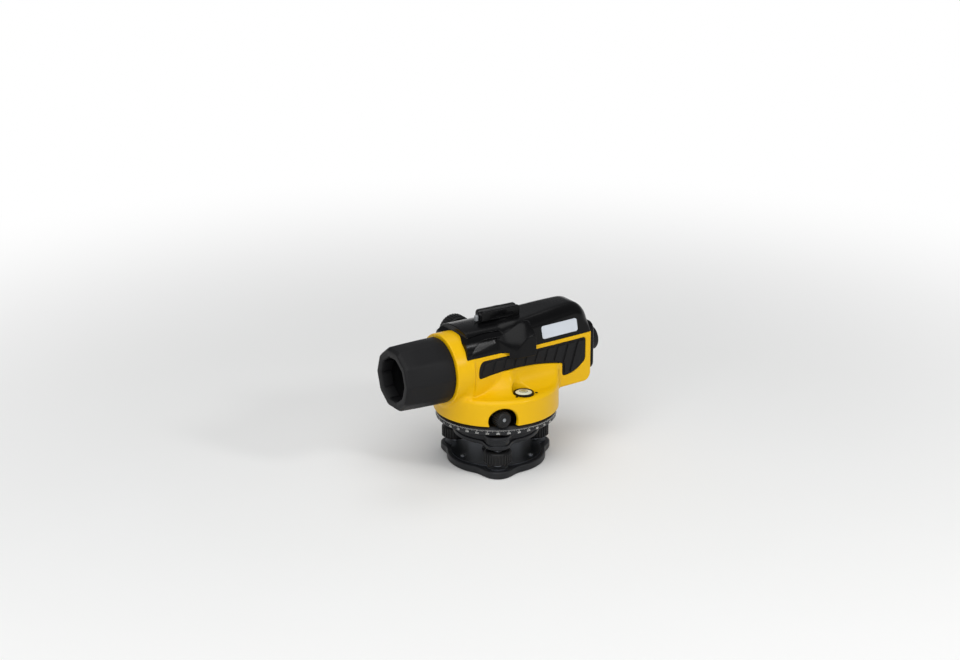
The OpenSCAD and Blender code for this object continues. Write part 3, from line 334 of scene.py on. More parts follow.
def skin(values, low, step):
    """Surface net: one point in each cell that the surface crosses, one face across each crossed edge."""
    inside = values < 0
    count = np.zeros([n - 1 for n in values.shape], np.uint8)
    for corner in np.ndindex(2, 2, 2):
        count += inside[tuple(slice(c, c + n) for c, n in zip(corner, count.shape))]
    cells = np.argwhere((count > 0) & (count < 8))
    total = np.zeros((len(cells), 3), np.float32)
    crossed = np.zeros(len(cells), np.float32)
    for start, end in EDGE_ENDS:
        f0 = values[tuple((cells + start).T)]
        f1 = values[tuple((cells + end).T)]
        hit = (f0 < 0) != (f1 < 0)
        part = np.where(hit, f0 / np.where(hit, f0 - f1, 1), 0)[:, None]
        total += np.where(hit[:, None], start + part * (end - start), 0)
        crossed += hit
    points = (cells + total / crossed[:, None]) * np.array(step) + np.array(low)
    index = np.full(count.shape, -1, np.int32)
    index[tuple(cells.T)] = np.arange(len(cells))
    faces = []
    for axis in range(3):
        u, v = (axis + 1) % 3, (axis + 2) % 3
        near = np.take(inside, range(values.shape[axis] - 1), axis)
        far = np.take(inside, range(1, values.shape[axis]), axis)
        edges = np.argwhere(near != far)
        edges = edges[(edges[:, u] > 0) & (edges[:, v] > 0)
                      & (edges[:, u] < count.shape[u]) & (edges[:, v] < count.shape[v])]
        corners = []
        for du, dv in ((1, 1), (0, 1), (0, 0), (1, 0)):
            cell = edges.copy()
            cell[:, u] -= du
            cell[:, v] -= dv
            corners.append(index[tuple(cell.T)])
        quad = np.stack(corners, 1)
        flip = far[tuple(edges.T)]
        quad[flip] = quad[flip][:, ::-1]
        faces.append(quad)
    return points, np.concatenate(faces)


print(len(EDGE_ENDS), "edges in a cell")

# %% Skin to object
def mesh_object(name, points_mm, faces, material):
    """A smooth mesh object at the origin from points in millimetres."""
    mesh = bpy.data.meshes.new(name)
    faces = faces.tolist() if isinstance(faces, np.ndarray) else faces
    mesh.from_pydata(np.asarray(points_mm) * MM, [], faces)
    mesh.validate()
    mesh.polygons.foreach_set("use_smooth", [True] * len(mesh.polygons))
    mesh.materials.append(material)
    obj = bpy.data.objects.new(name, mesh)
    scene.collection.objects.link(obj)
    return obj


def apply_modifiers(obj):
    """Turns the evaluated object into a plain mesh and takes its modifiers off."""
    evaluated = obj.evaluated_get(bpy.context.evaluated_depsgraph_get())
    mesh = bpy.data.meshes.new_from_object(evaluated)
    obj.modifiers.clear()
    old = obj.data
    obj.data = mesh
    mesh.name = obj.name
    bpy.data.meshes.remove(old)
    return obj


def settle(field, points, slope_mm=0.05, rounds=3):
    """Moves points onto the surface and gives the field's direction there."""
    for _ in range(rounds):
        value = field(*points.T)
        slope = np.stack([field(*(points + d).T) - field(*(points - d).T)
                          for d in np.eye(3) * slope_mm], 1) / (2 * slope_mm)
        size = np.maximum((slope * slope).sum(1), 0.2)
        points = points - np.clip(value / size, -0.3, 0.3)[:, None] * slope
    return points, slope / np.maximum(np.linalg.norm(slope, axis=1), 1e-6)[:, None]


def sculpt(name, field, low, high, step, material, keep=1.0):
    """Samples a field, skins it, thins the skin and settles it on the surface."""
    step = (step,) * 3 if isinstance(step, float) else step
    points, faces = skin(sample(field, low, high, step), low, step)
    obj = mesh_object(name, points, faces, material)
    if keep < 1.0:
        thin = obj.modifiers.new("thin", "DECIMATE")
        thin.ratio = keep
        apply_modifiers(obj)
    mesh = obj.data
    points = np.empty(len(mesh.vertices) * 3, np.float32)
    mesh.vertices.foreach_get("co", points)
    points, normals = settle(field, points.reshape(-1, 3).astype(np.float64) / MM)
    mesh.vertices.foreach_set("co", (points * MM).astype(np.float32).ravel())
    mesh.normals_split_custom_set_from_vertices(normals.astype(np.float32))
    mesh.update()
    print(f"{name}: {len(mesh.vertices)} points, {len(mesh.polygons)} faces")
    return obj


def dress(piece, body, *nodes):
    """The piece moves with a body and stands for the CAD nodes it covers."""
    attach(piece, body)
    if nodes:
        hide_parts(*nodes)


def pick(fine):
    return fine


print("grid:", pick("fine"))

# %% [markdown]
# ## Yellow housing
# One casting carries everything above the circle. A round skirt with a rounded shoulder holds the
# slow motion drive. In front, a hollow sweep turned about the vertical axis leads up to the body;
# behind, the same hollow runs straight along the tapered sides. A round collar in front holds the
# objective. Two arches bare the drive knobs, a flat seat takes the circular bubble, and each side
# has a shallow recess for its rubber grip. The sizes follow those of the CAD model, and the heights
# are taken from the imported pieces.

# %% Housing sizes
def box_mm(node):
    """Lowest and highest corner of a CAD node in millimetres."""
    return [np.array(corner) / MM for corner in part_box(node)]


SKIRT_Z = box_mm("main_housing")[0][2]
AXIS_Z = sum(corner[2] for corner in box_mm("objective_lens")) / 2
SKIRT_R, SKIRT_H, SHOULDER_R, SKIRT_WALL = 58.0, 24.5, 4.0, 4.0
SWEEP_R, SWEEP_TOP = 23.0, 50.0
BODY_HALF, BODY_REAR, BODY_FRONT, BODY_LOW, SEAM_UP = 31.0, 90.0, 46.0, 32.5, 15.5
TAPER, TAPER_START, TAPER_R = 8.0 / 95.0, 5.0, 6.0
COLLAR_R, COLLAR_REAR, COLLAR_FRONT, CELL_R = 33.2, 42.0, 60.0, 27.05
FOCUS_X, _, FOCUS_UP = sum(box_mm("focus_knob")) / 2 - (0, 0, AXIS_Z)
BUBBLE_X, BUBBLE_Y, BUBBLE_R = -2.0, 44.0, 9.5
SEAT_R, SEAT_UP, POCKET_UP = 10.6, 25.0, 22.0
ARCH_X, ARCH_UP, ARCH_R, ARCH_BACK = 23.6, 5.2, 12.3, 40.0
RECESS_DEEP = 1.4
WALL, UNDER_TOP, ROOM_LOW, ROOM_FRONT, CAST_R = 3.0, 14.5, 17.5, 40.0, 1.2
BORE_BACK, EYE_R, EYE_FRONT = 38.0, 12.05, -80.0
print(f"skirt at {SKIRT_Z:.1f} mm, line of sight at {AXIS_Z:.1f} mm")


# %% Forms that the housing, the cover and the grips share
def body_side(x, y):
    """Distance outside the body's two sides, straight in front and tapered behind."""
    straight = np.abs(y) - BODY_HALF
    tapered = (straight + (TAPER_START - x) * TAPER) * math.cos(math.atan(TAPER))
    return cut_round(straight, tapered, TAPER_R)


def ease(value, low, high):
    """0 below low, 1 above high, and smooth between."""
    t = np.clip((value - low) / (high - low), 0, 1)
    return t * t * (3 - 2 * t)


GRIP_TOP, GRIP_LOW, GRIP_REAR = 11.5, -21.3, -83.5
GRIP_STEP_X, GRIP_FOOT_X = -56.3, -70.0
NOSE_X, NOSE_UP = 37.5, 2.0
FLANK_X, FLANK_UP, FLANK_R = -1.9, -229.1, 227.0


def grip_outline(x, zr):
    """The grip seen from the side. Its lower edge follows the swept flank and steps down behind it."""
    out, up = x - NOSE_X, zr - NOSE_UP
    nose = cut_round(out * 0.926 + up * 0.379, out * 0.978 - up * 0.21, 3)
    above_flank = join_round(FLANK_R - np.hypot(x - FLANK_X, zr - FLANK_UP), x - GRIP_STEP_X, 1.2)
    foot = cut_round(GRIP_LOW - zr, (GRIP_FOOT_X - x) * 0.607 - (zr - GRIP_LOW) * 0.795, 6)
    ends = cut_round(nose, GRIP_REAR - x, 3)
    return cut_round(cut_round(zr - GRIP_TOP, ends, 3), cut_round(above_flank, foot, 3), 2.5)


print(f"half width: {-body_side(BODY_FRONT, 0):.1f} mm in front, {-body_side(-BODY_REAR, 0):.1f} mm behind")

# %% Housing field
def flank(x, y, zs):
    """The skirt with the hollow sweep above it: turned in front, straight behind."""
    reach = np.hypot(x, y)
    skirt = cut_round(reach - SKIRT_R, zs - SKIRT_H, SHOULDER_R)
    front = join_round(skirt, np.maximum(reach - BODY_HALF, zs - SWEEP_TOP), SWEEP_R)
    rear = join_round(zs - SKIRT_H, np.maximum(body_side(x, y), zs - SWEEP_TOP), SWEEP_R)
    rear = cut_round(rear, reach - SKIRT_R, SHOULDER_R)
    share = ease(x, -6, 6)
    return front * share + rear * (1 - share)


def housing_field(x, y, z):
    """The whole casting. zr is the height above the line of sight, zs above the skirt's edge."""
    zr, zs = z - AXIS_Z, z - SKIRT_Z
    reach, sight = np.hypot(x, y), np.hypot(y, zr)
    side = body_side(x, y)
    tail = cut_round(-(x + BODY_REAR), -(zr + BODY_LOW), 8)
    body = cut_round(cut_round(side, tail, 1.5), x - BODY_FRONT, 3)
    body = cut_round(body, zr - SEAM_UP + 0.1, 0.5)
    near_wall = 0.05 + 1.6 * ease(x, 6, 18) + 3 * ease(reach, 52, 57)
    form = join_round(body, flank(x, y, zs), near_wall)
    collar = cut_round(sight - COLLAR_R, band(x, COLLAR_REAR, COLLAR_FRONT), 1.0)
    form = join_round(form, collar, 2.5 + 2.5 * ease(x, 44, 50))
    form = np.maximum(form, np.minimum(zr - SEAM_UP + 0.1, sight - COLLAR_R))
    form = cut_round(form, -zs, 0.8)
    arch = np.maximum(np.hypot(x - ARCH_X, zs - ARCH_UP) - ARCH_R, ARCH_BACK - np.abs(y))
    form = cut_round(form, -arch, CAST_R)
    from_bubble = np.hypot(x - BUBBLE_X, y - BUBBLE_Y)
    seat = np.maximum(from_bubble - SEAT_R, SEAT_UP - zs)
    form = cut_round(form, -seat, CAST_R)
    recess = np.maximum(grip_outline(x, zr), -(side + RECESS_DEEP))
    form = cut_round(form, -recess, 0.6)
    pocket = np.maximum(from_bubble - BUBBLE_R - 0.05, POCKET_UP - zs)
    under = np.maximum(reach - SKIRT_R + SKIRT_WALL, zs - UNDER_TOP)
    room = np.maximum(np.maximum(side + WALL, band(x, WALL - BODY_REAR, ROOM_FRONT)), ROOM_LOW - zs)
    bore = np.maximum(sight - CELL_R, BORE_BACK - x)
    eye_hole = np.maximum(sight - EYE_R, x - EYE_FRONT)
    return carve(form, pocket, under, room, bore, eye_hole)


housing = sculpt("housing", housing_field, (-93, -61, SKIRT_Z - 2), (63, 61, AXIS_Z + 36),
                 pick(0.55), YELLOW, pick(0.33))
dress(housing, "alidade", "main_housing")

# %% [markdown]
# ## Top cover
# The cover is one black moulding. Its sides lean in and its rear is round. Behind, the roof rises
# gently between two shoulders; in front, it closes round over the telescope. On each side a panel
# is set back in two steps under a flat arc, and behind it a cone-shaped lug dips over the joint
# line. A boss on the right carries the focusing shaft. The same distance fields give it all, with a
# small radius where one form meets the next, as a mould needs.

# %% Cover field
SIGHT = box_mm("sight")
COVER_UP = SIGHT[0][2] - AXIS_Z
COVER_FRONT, REAR_R, ROOF_RISE = 49.0, 18.0, 4.5
LEAN_DEG = 12
LEAN = math.tan(math.radians(LEAN_DEG))
ARC_X, ARC_UP, ARC_R = 22.0, -135.5, 170.0
DISC_X, DISC_UP, DISC_R = 26.0, 10.0, 19.4
LUG_X, LUG_LOW, LUG_R, LUG_SLOPE = -20.5, 9.75, 20.0, 1.68
LUG_Y = box_mm("top_cover")[1][1]
LUG_IN, BOSS_R, SHAFT_R, MOULD_R = 25.0, 7.0, 4.55, 0.8


def cover_side(x, y, zr):
    """Distance outside the leaning sides of the cover."""
    return (body_side(x, y) + (zr - SEAM_UP) * LEAN) * math.cos(math.atan(LEAN))


def cover_arch(x, y, zr):
    """Distance outside the roof's round front part, which opens out towards the rear."""
    return np.hypot(y, zr) - COVER_UP - 1 - 7 * (1 - ease(x, -15, 9))


def cover_form(x, y, zr, inset):
    """The cover's solid form, inset from its outer face."""
    side = cover_side(x, y, zr) + inset
    crest = zr - COVER_UP - ROOF_RISE * ease(-x, 10, 78)
    top = cut_round(crest + inset, -(x + BODY_REAR) + inset, REAR_R - inset)
    shoulder = 3 + 7 * ease(zr, 17, 29) - 0.5 * inset
    roof = cut_round(cut_round(side, top, shoulder), cover_arch(x, y, zr) + inset, 5)
    front = x - COVER_FRONT + 5 * ease(zr, 27, 35) + inset
    return cut_round(roof, front, 1.0)


def cover_field(x, y, z):
    """The hollow cover with its panels, lugs and boss."""
    zr = z - AXIS_Z
    sight = np.hypot(y, zr)
    form = cover_form(x, y, zr, 0.0)
    from_shaft = np.hypot(x - FOCUS_X, zr - FOCUS_UP)
    panel_rear = (10.7 - x) - 0.2 * (zr - 17)
    under_arc = cut_round(np.hypot(x - ARC_X, zr - ARC_UP) - ARC_R, panel_rear, 4)
    step = np.maximum(under_arc, -(form + 0.4 + 0.9 * ease(zr, 17, 24)))
    disc = cut_round(np.hypot(np.maximum(x - DISC_X, 0), zr - DISC_UP) - DISC_R, under_arc + 1, 2)
    dish = np.maximum(disc, -(form + 0.9 + 2.0 * ease(zr, 16, 27)))
    form = cut_round(cut_round(form, -step, MOULD_R), -dish, MOULD_R)
    form = cut_round(form, SEAM_UP - zr, 0.4)
    out = np.abs(y) - LUG_Y
    cone = (np.hypot(x - LUG_X, zr - LUG_LOW) - LUG_R + out * LUG_SLOPE) / math.hypot(1, LUG_SLOPE)
    lug = cut_round(cut_round(cone, out, MOULD_R), np.maximum(LUG_X - x, LUG_LOW - zr), MOULD_R)
    lug = cut_round(lug, cover_arch(x, y, zr) - 0.3, 4)
    boss = cut_round(from_shaft - BOSS_R, np.maximum(-y - LUG_Y, y + LUG_IN), MOULD_R)
    dip = np.maximum(np.abs(y) - BODY_HALF - 1.7, zr - SEAM_UP)
    proud = np.maximum(np.minimum(lug, boss), np.maximum(-dip, LUG_IN - np.abs(y)))
    form = join_round(form, proud, 1.2)
    room = np.maximum(cover_form(x, y, zr, WALL + 2 * ease(x, 0, 8)), x - BORE_BACK)
    collar = np.maximum(sight - COLLAR_R + 1.5, BORE_BACK - x)
    shaft = np.maximum(from_shaft - SHAFT_R, y)
    return carve(form, room, collar, shaft)


cover = sculpt("top_cover_moulding", cover_field, (-92, -41, AXIS_Z + 7), (51, 41, AXIS_Z + COVER_UP + 7),
               pick(0.45), GLOSS_BLACK, pick(0.35))
dress(cover, "alidade", "top_cover")

# %% [markdown]
# ## Rubber grips
# Each grip is a thin moulded pad that fills its recess and stands a little proud. Slanted blocks
# with rounded edges give the fingers hold; they lean back towards the eyepiece. The pad's outline
# is the recess made smaller by a hair, so that the same function draws both.

# %% Grips
RIB_PITCH, RIB_SLANT, RIB_HALF = 11.6, 0.33, 4.2
FIRST_RIB = -7


def grip_field(x, y, z):
    """A pad in the recess with slanted blocks on it; the right one leaves room for the focusing shaft."""
    zr = z - AXIS_Z
    side = body_side(x, y)
    outline = grip_outline(x, zr) + 0.25
    along = (x + RIB_SLANT * zr) / RIB_PITCH
    block = (np.abs(along - np.floor(along) - 0.5) * RIB_PITCH - RIB_HALF) * 0.95
    block = np.maximum(block, (FIRST_RIB - along) * RIB_PITCH)
    pad = cut_round(outline, side + 0.2, 0.5)
    raised = cut_round(cut_round(outline + 1.8, block, 1.0), side - 1.05, 0.45)
    bush = np.where(y < 0, np.hypot(x - FOCUS_X, zr - FOCUS_UP) - 4.9, 99.0)
    return carve(np.minimum(pad, raised), side + 1.3, bush)


for side, low_y in (("left", 20), ("right", -34)):
    grip = sculpt(f"{side}_grip", grip_field, (-86, low_y, AXIS_Z - 24), (41, low_y + 14, AXIS_Z + 16),
                  pick((0.4, 0.25, 0.4)), RUBBER, 0.45)
    dress(grip, "alidade", f"{side}_grip_pad")

# %% [markdown]
# ## Rear cap and sight
# These are mouldings with rounded edges, so the same fields make them from a few boxes and discs.
# The sight is a block with a notch along its top for aiming.

# %% Rear cap and sight
def rounded_box(x, y, z, low, high, radius):
    """A box with rounded edges between two corners."""
    flat = cut_round(band(x, low[0], high[0]), band(y, low[1], high[1]), radius)
    return cut_round(flat, band(z, low[2], high[2]), radius)


CAP = box_mm("rear_cap")
CAP_GROOVE_R, CAP_HOLE_R = 18.5, 12.1
CAP_SCREW_IN, CAP_SCREW_LOW, CAP_SCREW_HIGH, CAP_SCREW_R = 5.5, -18.0, 10.5, 2.6


def rear_cap_field(x, y, z):
    """A rounded plate with a ring groove, a hole for the eyepiece and four sunk screws."""
    zr = z - AXIS_Z
    low, high = CAP
    plan = cut_round(band(y, low[1], high[1]), band(z, low[2], high[2]), 8)
    dome = cut_round(plan, low[0] - x, 2.4)
    eye = np.hypot(y, zr)
    groove = np.maximum(np.abs(eye - CAP_GROOVE_R) - 0.7, x - low[0] - 1.0)
    from_row = np.minimum(np.abs(zr - CAP_SCREW_LOW), np.abs(zr - CAP_SCREW_HIGH))
    sunk = np.hypot(np.abs(y) - (high[1] - CAP_SCREW_IN), from_row) - CAP_SCREW_R
    form = np.maximum(dome, x - high[0])
    form = cut_round(form, -groove, 0.4)
    return carve(form, np.maximum(sunk, x - low[0] - 1.5), eye - CAP_HOLE_R)


def sight_field(x, y, z):
    """A block with a sloped front, a notch along its top and a waist on each side."""
    low, high = SIGHT
    tall = high[2] - low[2]
    block = rounded_box(x, y, z, low - (0, 0, 4), high, 1.3)
    front = (x - high[0] + 2) * 0.8 + (z - high[2] + 1) * 0.6
    block = cut_round(block, front - 1, 1.2)
    notch = (tall * 0.55 - (z - low[2]) + np.abs(y) * tall * 0.24) * 0.8
    waist = np.maximum(band(x, low[0] + 8, high[0] - 10), band(z, low[2] + 1.2, low[2] + tall * 0.45))
    waist = np.maximum(waist, high[1] - 0.8 - np.abs(y))
    block = cut_round(block, -notch, 0.4)
    return np.maximum(cut_round(block, -waist, 0.4), low[2] - z)


def sculpt_node(name, field, node, body, step, material):
    """Sculpts a piece within the box of its CAD node, keeps two faces in five and dresses it."""
    low, high = box_mm(node)
    dress(sculpt(name, field, low - 1, high + 1, step, material, 0.4), body, node)


sculpt_node("rear_cap_moulding", rear_cap_field, "rear_cap", "alidade", pick(0.4), GLOSS_BLACK)
sculpt_node("sight_block", sight_field, "sight", "alidade", pick(0.4), GLOSS_BLACK)

# %% [markdown]
# ## Turned pieces and lofts
# Knobs, rings and the bubble are turned: a closed profile is spun about an axis. One function
# rounds the corners of a profile, one spins it, and one puts the axis where the CAD piece has it.
# The hood is a loft: rings of points between a circle and a ten-sided outline.

# %% Softened outlines
def soften(points, radius, steps=3, spun=True):
    """Rounds the corners of a closed outline, but not those on the axis that it is spun about."""
    points = np.asarray(points, float)
    rounded = []
    for before, corner, after in zip(np.roll(points, 1, 0), points, np.roll(points, -1, 0)):
        if spun and corner[0] == 0:
            rounded.append(corner)
            continue
        to_a, to_b = before - corner, after - corner
        reach = min(radius, 0.45 * np.linalg.norm(to_a), 0.45 * np.linalg.norm(to_b))
        start = corner + to_a / np.linalg.norm(to_a) * reach
        end = corner + to_b / np.linalg.norm(to_b) * reach
        for t in np.linspace(0, 1, steps + 1):
            rounded.append((1 - t) ** 2 * start + 2 * t * (1 - t) * corner + t * t * end)
    return np.array(rounded)


SQUARE = [(1, 0), (2, 0), (2, 1), (1, 1)]
print(f"a square of {len(SQUARE)} points is rounded with {len(soften(SQUARE, 0.2))}")

# %% Turning and lofting
AXES = {"X": Matrix(((0, 0, 1), (1, 0, 0), (0, 1, 0))), "Y": Matrix(((0, 1, 0), (0, 0, 1), (1, 0, 0))),
        "Z": Matrix.Identity(3)}


def set_place(obj, place_mm, axis):
    """Turns a mesh made about Z onto another axis and moves it into place, in its points."""
    obj.data.transform(Matrix.Translation(Vector(place_mm) * MM) @ AXES[axis].to_4x4())
    obj.data.update()
    return obj


def close_up(obj, sharp_deg=40):
    """Merges doubles, turns the faces outwards and keeps edges sharper than an angle."""
    work = bmesh.new()
    work.from_mesh(obj.data)
    bmesh.ops.remove_doubles(work, verts=work.verts, dist=1e-7)
    bmesh.ops.dissolve_degenerate(work, edges=work.edges, dist=1e-7)
    bmesh.ops.recalc_face_normals(work, faces=work.faces)
    work.to_mesh(obj.data)
    work.free()
    obj.data.set_sharp_from_angle(angle=math.radians(sharp_deg))
    return obj


def loft(name, rings, material, closed=True):
    """Joins rings of equal numbers of points; closed joins the last ring to the first."""
    rings = np.asarray(rings, float)
    rows, cols = rings.shape[:2]
    i, j = np.meshgrid(np.arange(rows if closed else rows - 1), np.arange(cols), indexing="ij")
    quads = np.stack([i * cols + j, i * cols + (j + 1) % cols, (i + 1) % rows * cols + (j + 1) % cols,
                      (i + 1) % rows * cols + j], -1).reshape(-1, 4)
    return close_up(mesh_object(name, rings.reshape(-1, 3), quads, material))


def flat_ring(angle, radius, height):
    """Points round Z at one height; the radius may change with the angle."""
    return np.stack([radius * np.cos(angle), radius * np.sin(angle), np.full(len(angle), height)], 1)


def turned(name, profile, material, place, axis="Z", steps=96):
    """A closed profile of (radius, height) points spun about an axis."""
    angle = np.linspace(0, math.tau, steps, endpoint=False)
    rings = [flat_ring(angle, r, h) for r, h in profile]
    return set_place(loft(name, rings, material), place, axis)


print("axes:", ", ".join(AXES))

# %% [markdown]
# ## A ring of equal pieces
# Knurls, graduations and the ribs inside the hood repeat round an axis. One Geometry Nodes tree
# does them all: it makes a number of points, turns each by its share of a full turn, puts a copy of
# a shape on each, makes the copies real and gives them their material. The shape itself is a small
# bevelled bar that points outwards along X.

# %% Ring tree
def new_tree(name, **kinds):
    """A Geometry Nodes tree with named inputs and one output, and the sockets of its inputs."""
    tree = bpy.data.node_groups.new(name, "GeometryNodeTree")
    for socket, kind in kinds.items():
        tree.interface.new_socket(socket, in_out="INPUT", socket_type="NodeSocket" + kind)
    tree.interface.new_socket("Geometry", in_out="OUTPUT", socket_type="NodeSocketGeometry")
    return tree, add(tree, "NodeGroupInput").outputs


def copies_on(tree, given, points, turn):
    """Puts a copy of the shape on each point, makes the copies real and gives them their material."""
    shape = add(tree, "GeometryNodeObjectInfo", Object=given["Shape"])
    copies = add(tree, "GeometryNodeInstanceOnPoints", Points=points, Rotation=turn,
                 Instance=shape.outputs["Geometry"])
    real = add(tree, "GeometryNodeRealizeInstances", Geometry=copies.outputs[0])
    dyed = add(tree, "GeometryNodeSetMaterial", Geometry=real.outputs[0], Material=given["Material"])
    add(tree, "NodeGroupOutput", Geometry=dyed.outputs[0])
    return tree


def ring_tree():
    """Copies of a shape round the Z axis."""
    tree, given = new_tree("ring_of_pieces", Shape="Object", Count="Int", Radius="Float", Material="Material")
    index = add(tree, "GeometryNodeInputIndex")
    share = add(tree, "ShaderNodeMath", {"operation": "DIVIDE"}, i0=index.outputs[0], i1=given["Count"])
    angle = add(tree, "ShaderNodeMath", {"operation": "MULTIPLY"}, i0=share.outputs[0], i1=math.tau)
    turn = add(tree, "ShaderNodeCombineXYZ", Z=angle.outputs[0])
    spoke = add(tree, "ShaderNodeCombineXYZ", X=given["Radius"])
    spot = add(tree, "ShaderNodeVectorRotate", {"rotation_type": "EULER_XYZ"}, Vector=spoke.outputs[0],
               Rotation=turn.outputs[0])
    points = add(tree, "GeometryNodePoints", Count=given["Count"], Position=spot.outputs[0])
    return copies_on(tree, given, points.outputs[0], turn.outputs[0])


RING = ring_tree()
print(f"{RING.name}: {len(RING.nodes)} nodes")


# %% Running a tree
def run_tree(name, tree, places_mm=((0, 0, 0),), **inputs):
    """Runs a Geometry Nodes tree on points and keeps the result as a plain mesh."""
    obj = mesh_object(name, places_mm, [], inputs["Material"])
    modifier = obj.modifiers.new(tree.name, "NODES")
    modifier.node_group = tree
    for item in tree.interface.items_tree:
        if item.in_out == "INPUT" and item.name in inputs:
            modifier[item.identifier] = inputs[item.name]
    return apply_modifiers(obj)


def bar(size_mm, bevel_mm=0.0):
    """A small bar, centred, with bevelled edges, to be copied."""
    mesh = bpy.data.meshes.new("bar")
    work = bmesh.new()
    bmesh.ops.create_cube(work, size=1.0, matrix=Matrix.Diagonal(Vector(size_mm) * MM).to_4x4())
    if bevel_mm:
        bmesh.ops.bevel(work, geom=work.edges, offset=bevel_mm * MM, segments=2, profile=0.5, affect="EDGES")
    work.to_mesh(mesh)
    work.free()
    mesh.polygons.foreach_set("use_smooth", [bevel_mm > 0] * len(mesh.polygons))
    shape = bpy.data.objects.new("bar", mesh)
    scene.collection.objects.link(shape)
    return shape


def ring_of(name, shape, count, radius_mm, material, place, axis="Z"):
    """Copies of a shape round an axis. The shape is used up."""
    ring = run_tree(name, RING, Shape=shape, Count=count, Radius=radius_mm * MM, Material=material)
    bpy.data.objects.remove(shape)
    print(f"{name}: {count} pieces")
    return set_place(ring, place, axis)

# %% [markdown]
# ## Objective hood
# The hood is soft black rubber that pushes over the objective cell. It is round where it meets the
# yellow collar and turns into ten flat sides at its mouth, with a thick bevelled rim. Ribs run along
# the inside and stop stray light. A loft follows the change from round to flat-sided. Each of its
# stations is a length from the collar, a radius at the corners and a share of flatness.

# %% Hood
HOOD_SIDES, HOOD_POINTS = 10, 240
HOOD_REAR, HOOD_FRONT = (corner[0] for corner in box_mm("objective_hood"))


def hood_ring(x, radius, flatness):
    """One ring of the hood; radius is measured at its corners."""
    angle = np.linspace(0, math.tau, HOOD_POINTS, endpoint=False)
    half = math.pi / HOOD_SIDES
    local = (angle + half) % (2 * half) - half
    sided = np.minimum(radius * math.cos(half) / np.cos(local), radius * 0.988)
    reach = sided * flatness + radius * 0.975 * (1 - flatness)
    return np.stack([np.full_like(angle, x), reach * np.sin(angle), reach * np.cos(angle) + AXIS_Z], 1)


span = HOOD_FRONT - HOOD_REAR
MOUTH_R, MOUTH_LEN = 21.0, 12.0
outside = [(0, 27.1, 0), (0, 29.6, 0.1), (0.5, 30.6, 0.15), (1.6, 31, 0.2), (span * 0.3, 30.8, 0.5),
           (span * 0.65, 30.2, 0.85), (span - 3.6, 29.6, 1), (span - 2.9, 29.4, 1)]
rim = [(span - 0.6, 27.8, 1), (span - 0.15, 27.4, 1), (span, 26.8, 1), (span - 0.3, MOUTH_R + 1.2, 1),
       (span - 0.6, MOUTH_R + 0.5, 1), (span - 1.4, MOUTH_R, 1)]
inside = [(span - MOUTH_LEN + 0.6, MOUTH_R, 1), (span - MOUTH_LEN, MOUTH_R + 0.6, 1),
          (span - MOUTH_LEN, 24.4, 0.6), (6.2, 24.4, 0.2), (6.2, 27.1, 0)]
rings = [hood_ring(HOOD_REAR + x, r, flat) for x, r, flat in outside + rim + inside]
hood = loft("hood_moulding", rings, HOOD_RUBBER)
dress(hood, "alidade", "objective_hood")
hood_ribs = ring_of("hood_inner_ribs", bar((1.3, 1.0, MOUTH_LEN - 2), 0.3), HOOD_SIDES, MOUTH_R - 0.5,
                    HOOD_RUBBER, (HOOD_FRONT - MOUTH_LEN / 2, 0, AXIS_Z), "X")
dress(hood_ribs, "alidade")
print(f"hood: {len(hood.data.polygons)} faces")

# %% [markdown]
# ## Knobs
# All knobs are moulded with a plain core and a ring of ribs for the fingers. The core is turned from
# a profile with softened corners, and the ring tree adds the ribs. Every knob keeps the size and the
# place of the solid that it stands for, so it turns without touching its neighbours.

# %% Places, threads and ribs
FEET = {1: 180, 2: 60, 3: -60}
FOOT_CIRCLE_R = 43.0


def foot_place(i):
    """Where a foot screw's axis meets the floor."""
    angle = math.radians(FEET[i])
    return Vector((FOOT_CIRCLE_R * math.cos(angle), FOOT_CIRCLE_R * math.sin(angle), 0))


def threaded_rod(name, radius, low, high, pitch, place):
    """A rod with a screw thread: each ring's radius follows the turn of the thread."""
    angle = np.linspace(0, math.tau, 36, endpoint=False)
    rings = [flat_ring(angle, 0, low)]
    for z in np.arange(low, high + 0.01, pitch / 4):
        phase = (z / pitch - angle / math.tau) % 1
        plain = z < low + 0.1 or z > high - 0.2
        rings.append(flat_ring(angle, radius - (0.5 if plain else 0.45 * np.abs(2 * phase - 1)), z))
    rings.append(flat_ring(angle, 0, high))
    return set_place(loft(name, rings, STEEL, closed=False), place, "Z")


def ribbed(name, profile, rib_mm, bevel_mm, count, radius, at, middle, body, axis="Z", steps=96):
    """A turned core with a ring of ribs; the core stands for the CAD node of that name."""
    dress(turned(f"{name}_core", profile, KNOB_BLACK, at, axis, steps), body, name)
    dress(ring_of(f"{name}_ribs", bar(rib_mm, bevel_mm), count, radius, KNOB_BLACK, middle, axis), body)


print("feet at", [[round(v, 1) for v in foot_place(i)] for i in FEET])

# %% Foot screws
FOOT_KNOB_R = 12.2
for i in FEET:
    low, high = (corner[2] for corner in box_mm(f"foot_knob_{i}"))
    tall = high - low
    profile = soften([(4.1, 0), (10.6, 0), (FOOT_KNOB_R, 1.4), (FOOT_KNOB_R, tall - 1.4), (10.6, tall),
                      (8.6, tall), (8.2, tall - 0.9), (4.1, tall - 0.9)], 0.5)
    at = foot_place(i) + Vector((0, 0, low))
    ribbed(f"foot_knob_{i}", profile, (1.7, 1.5, tall - 2.6), 0.35, 28, 12.1, at,
           at + Vector((0, 0, tall / 2)), f"screw_{i}")
    rod_high = box_mm(f"foot_screw_{i}")[1][2]
    pad_high = box_mm(f"foot_pad_{i}")[1][2]
    rod = threaded_rod(f"foot_screw_{i}_rod", 4.0, pad_high + 0.3, rod_high, 1.0, foot_place(i))
    dress(rod, f"screw_{i}", f"foot_screw_{i}")

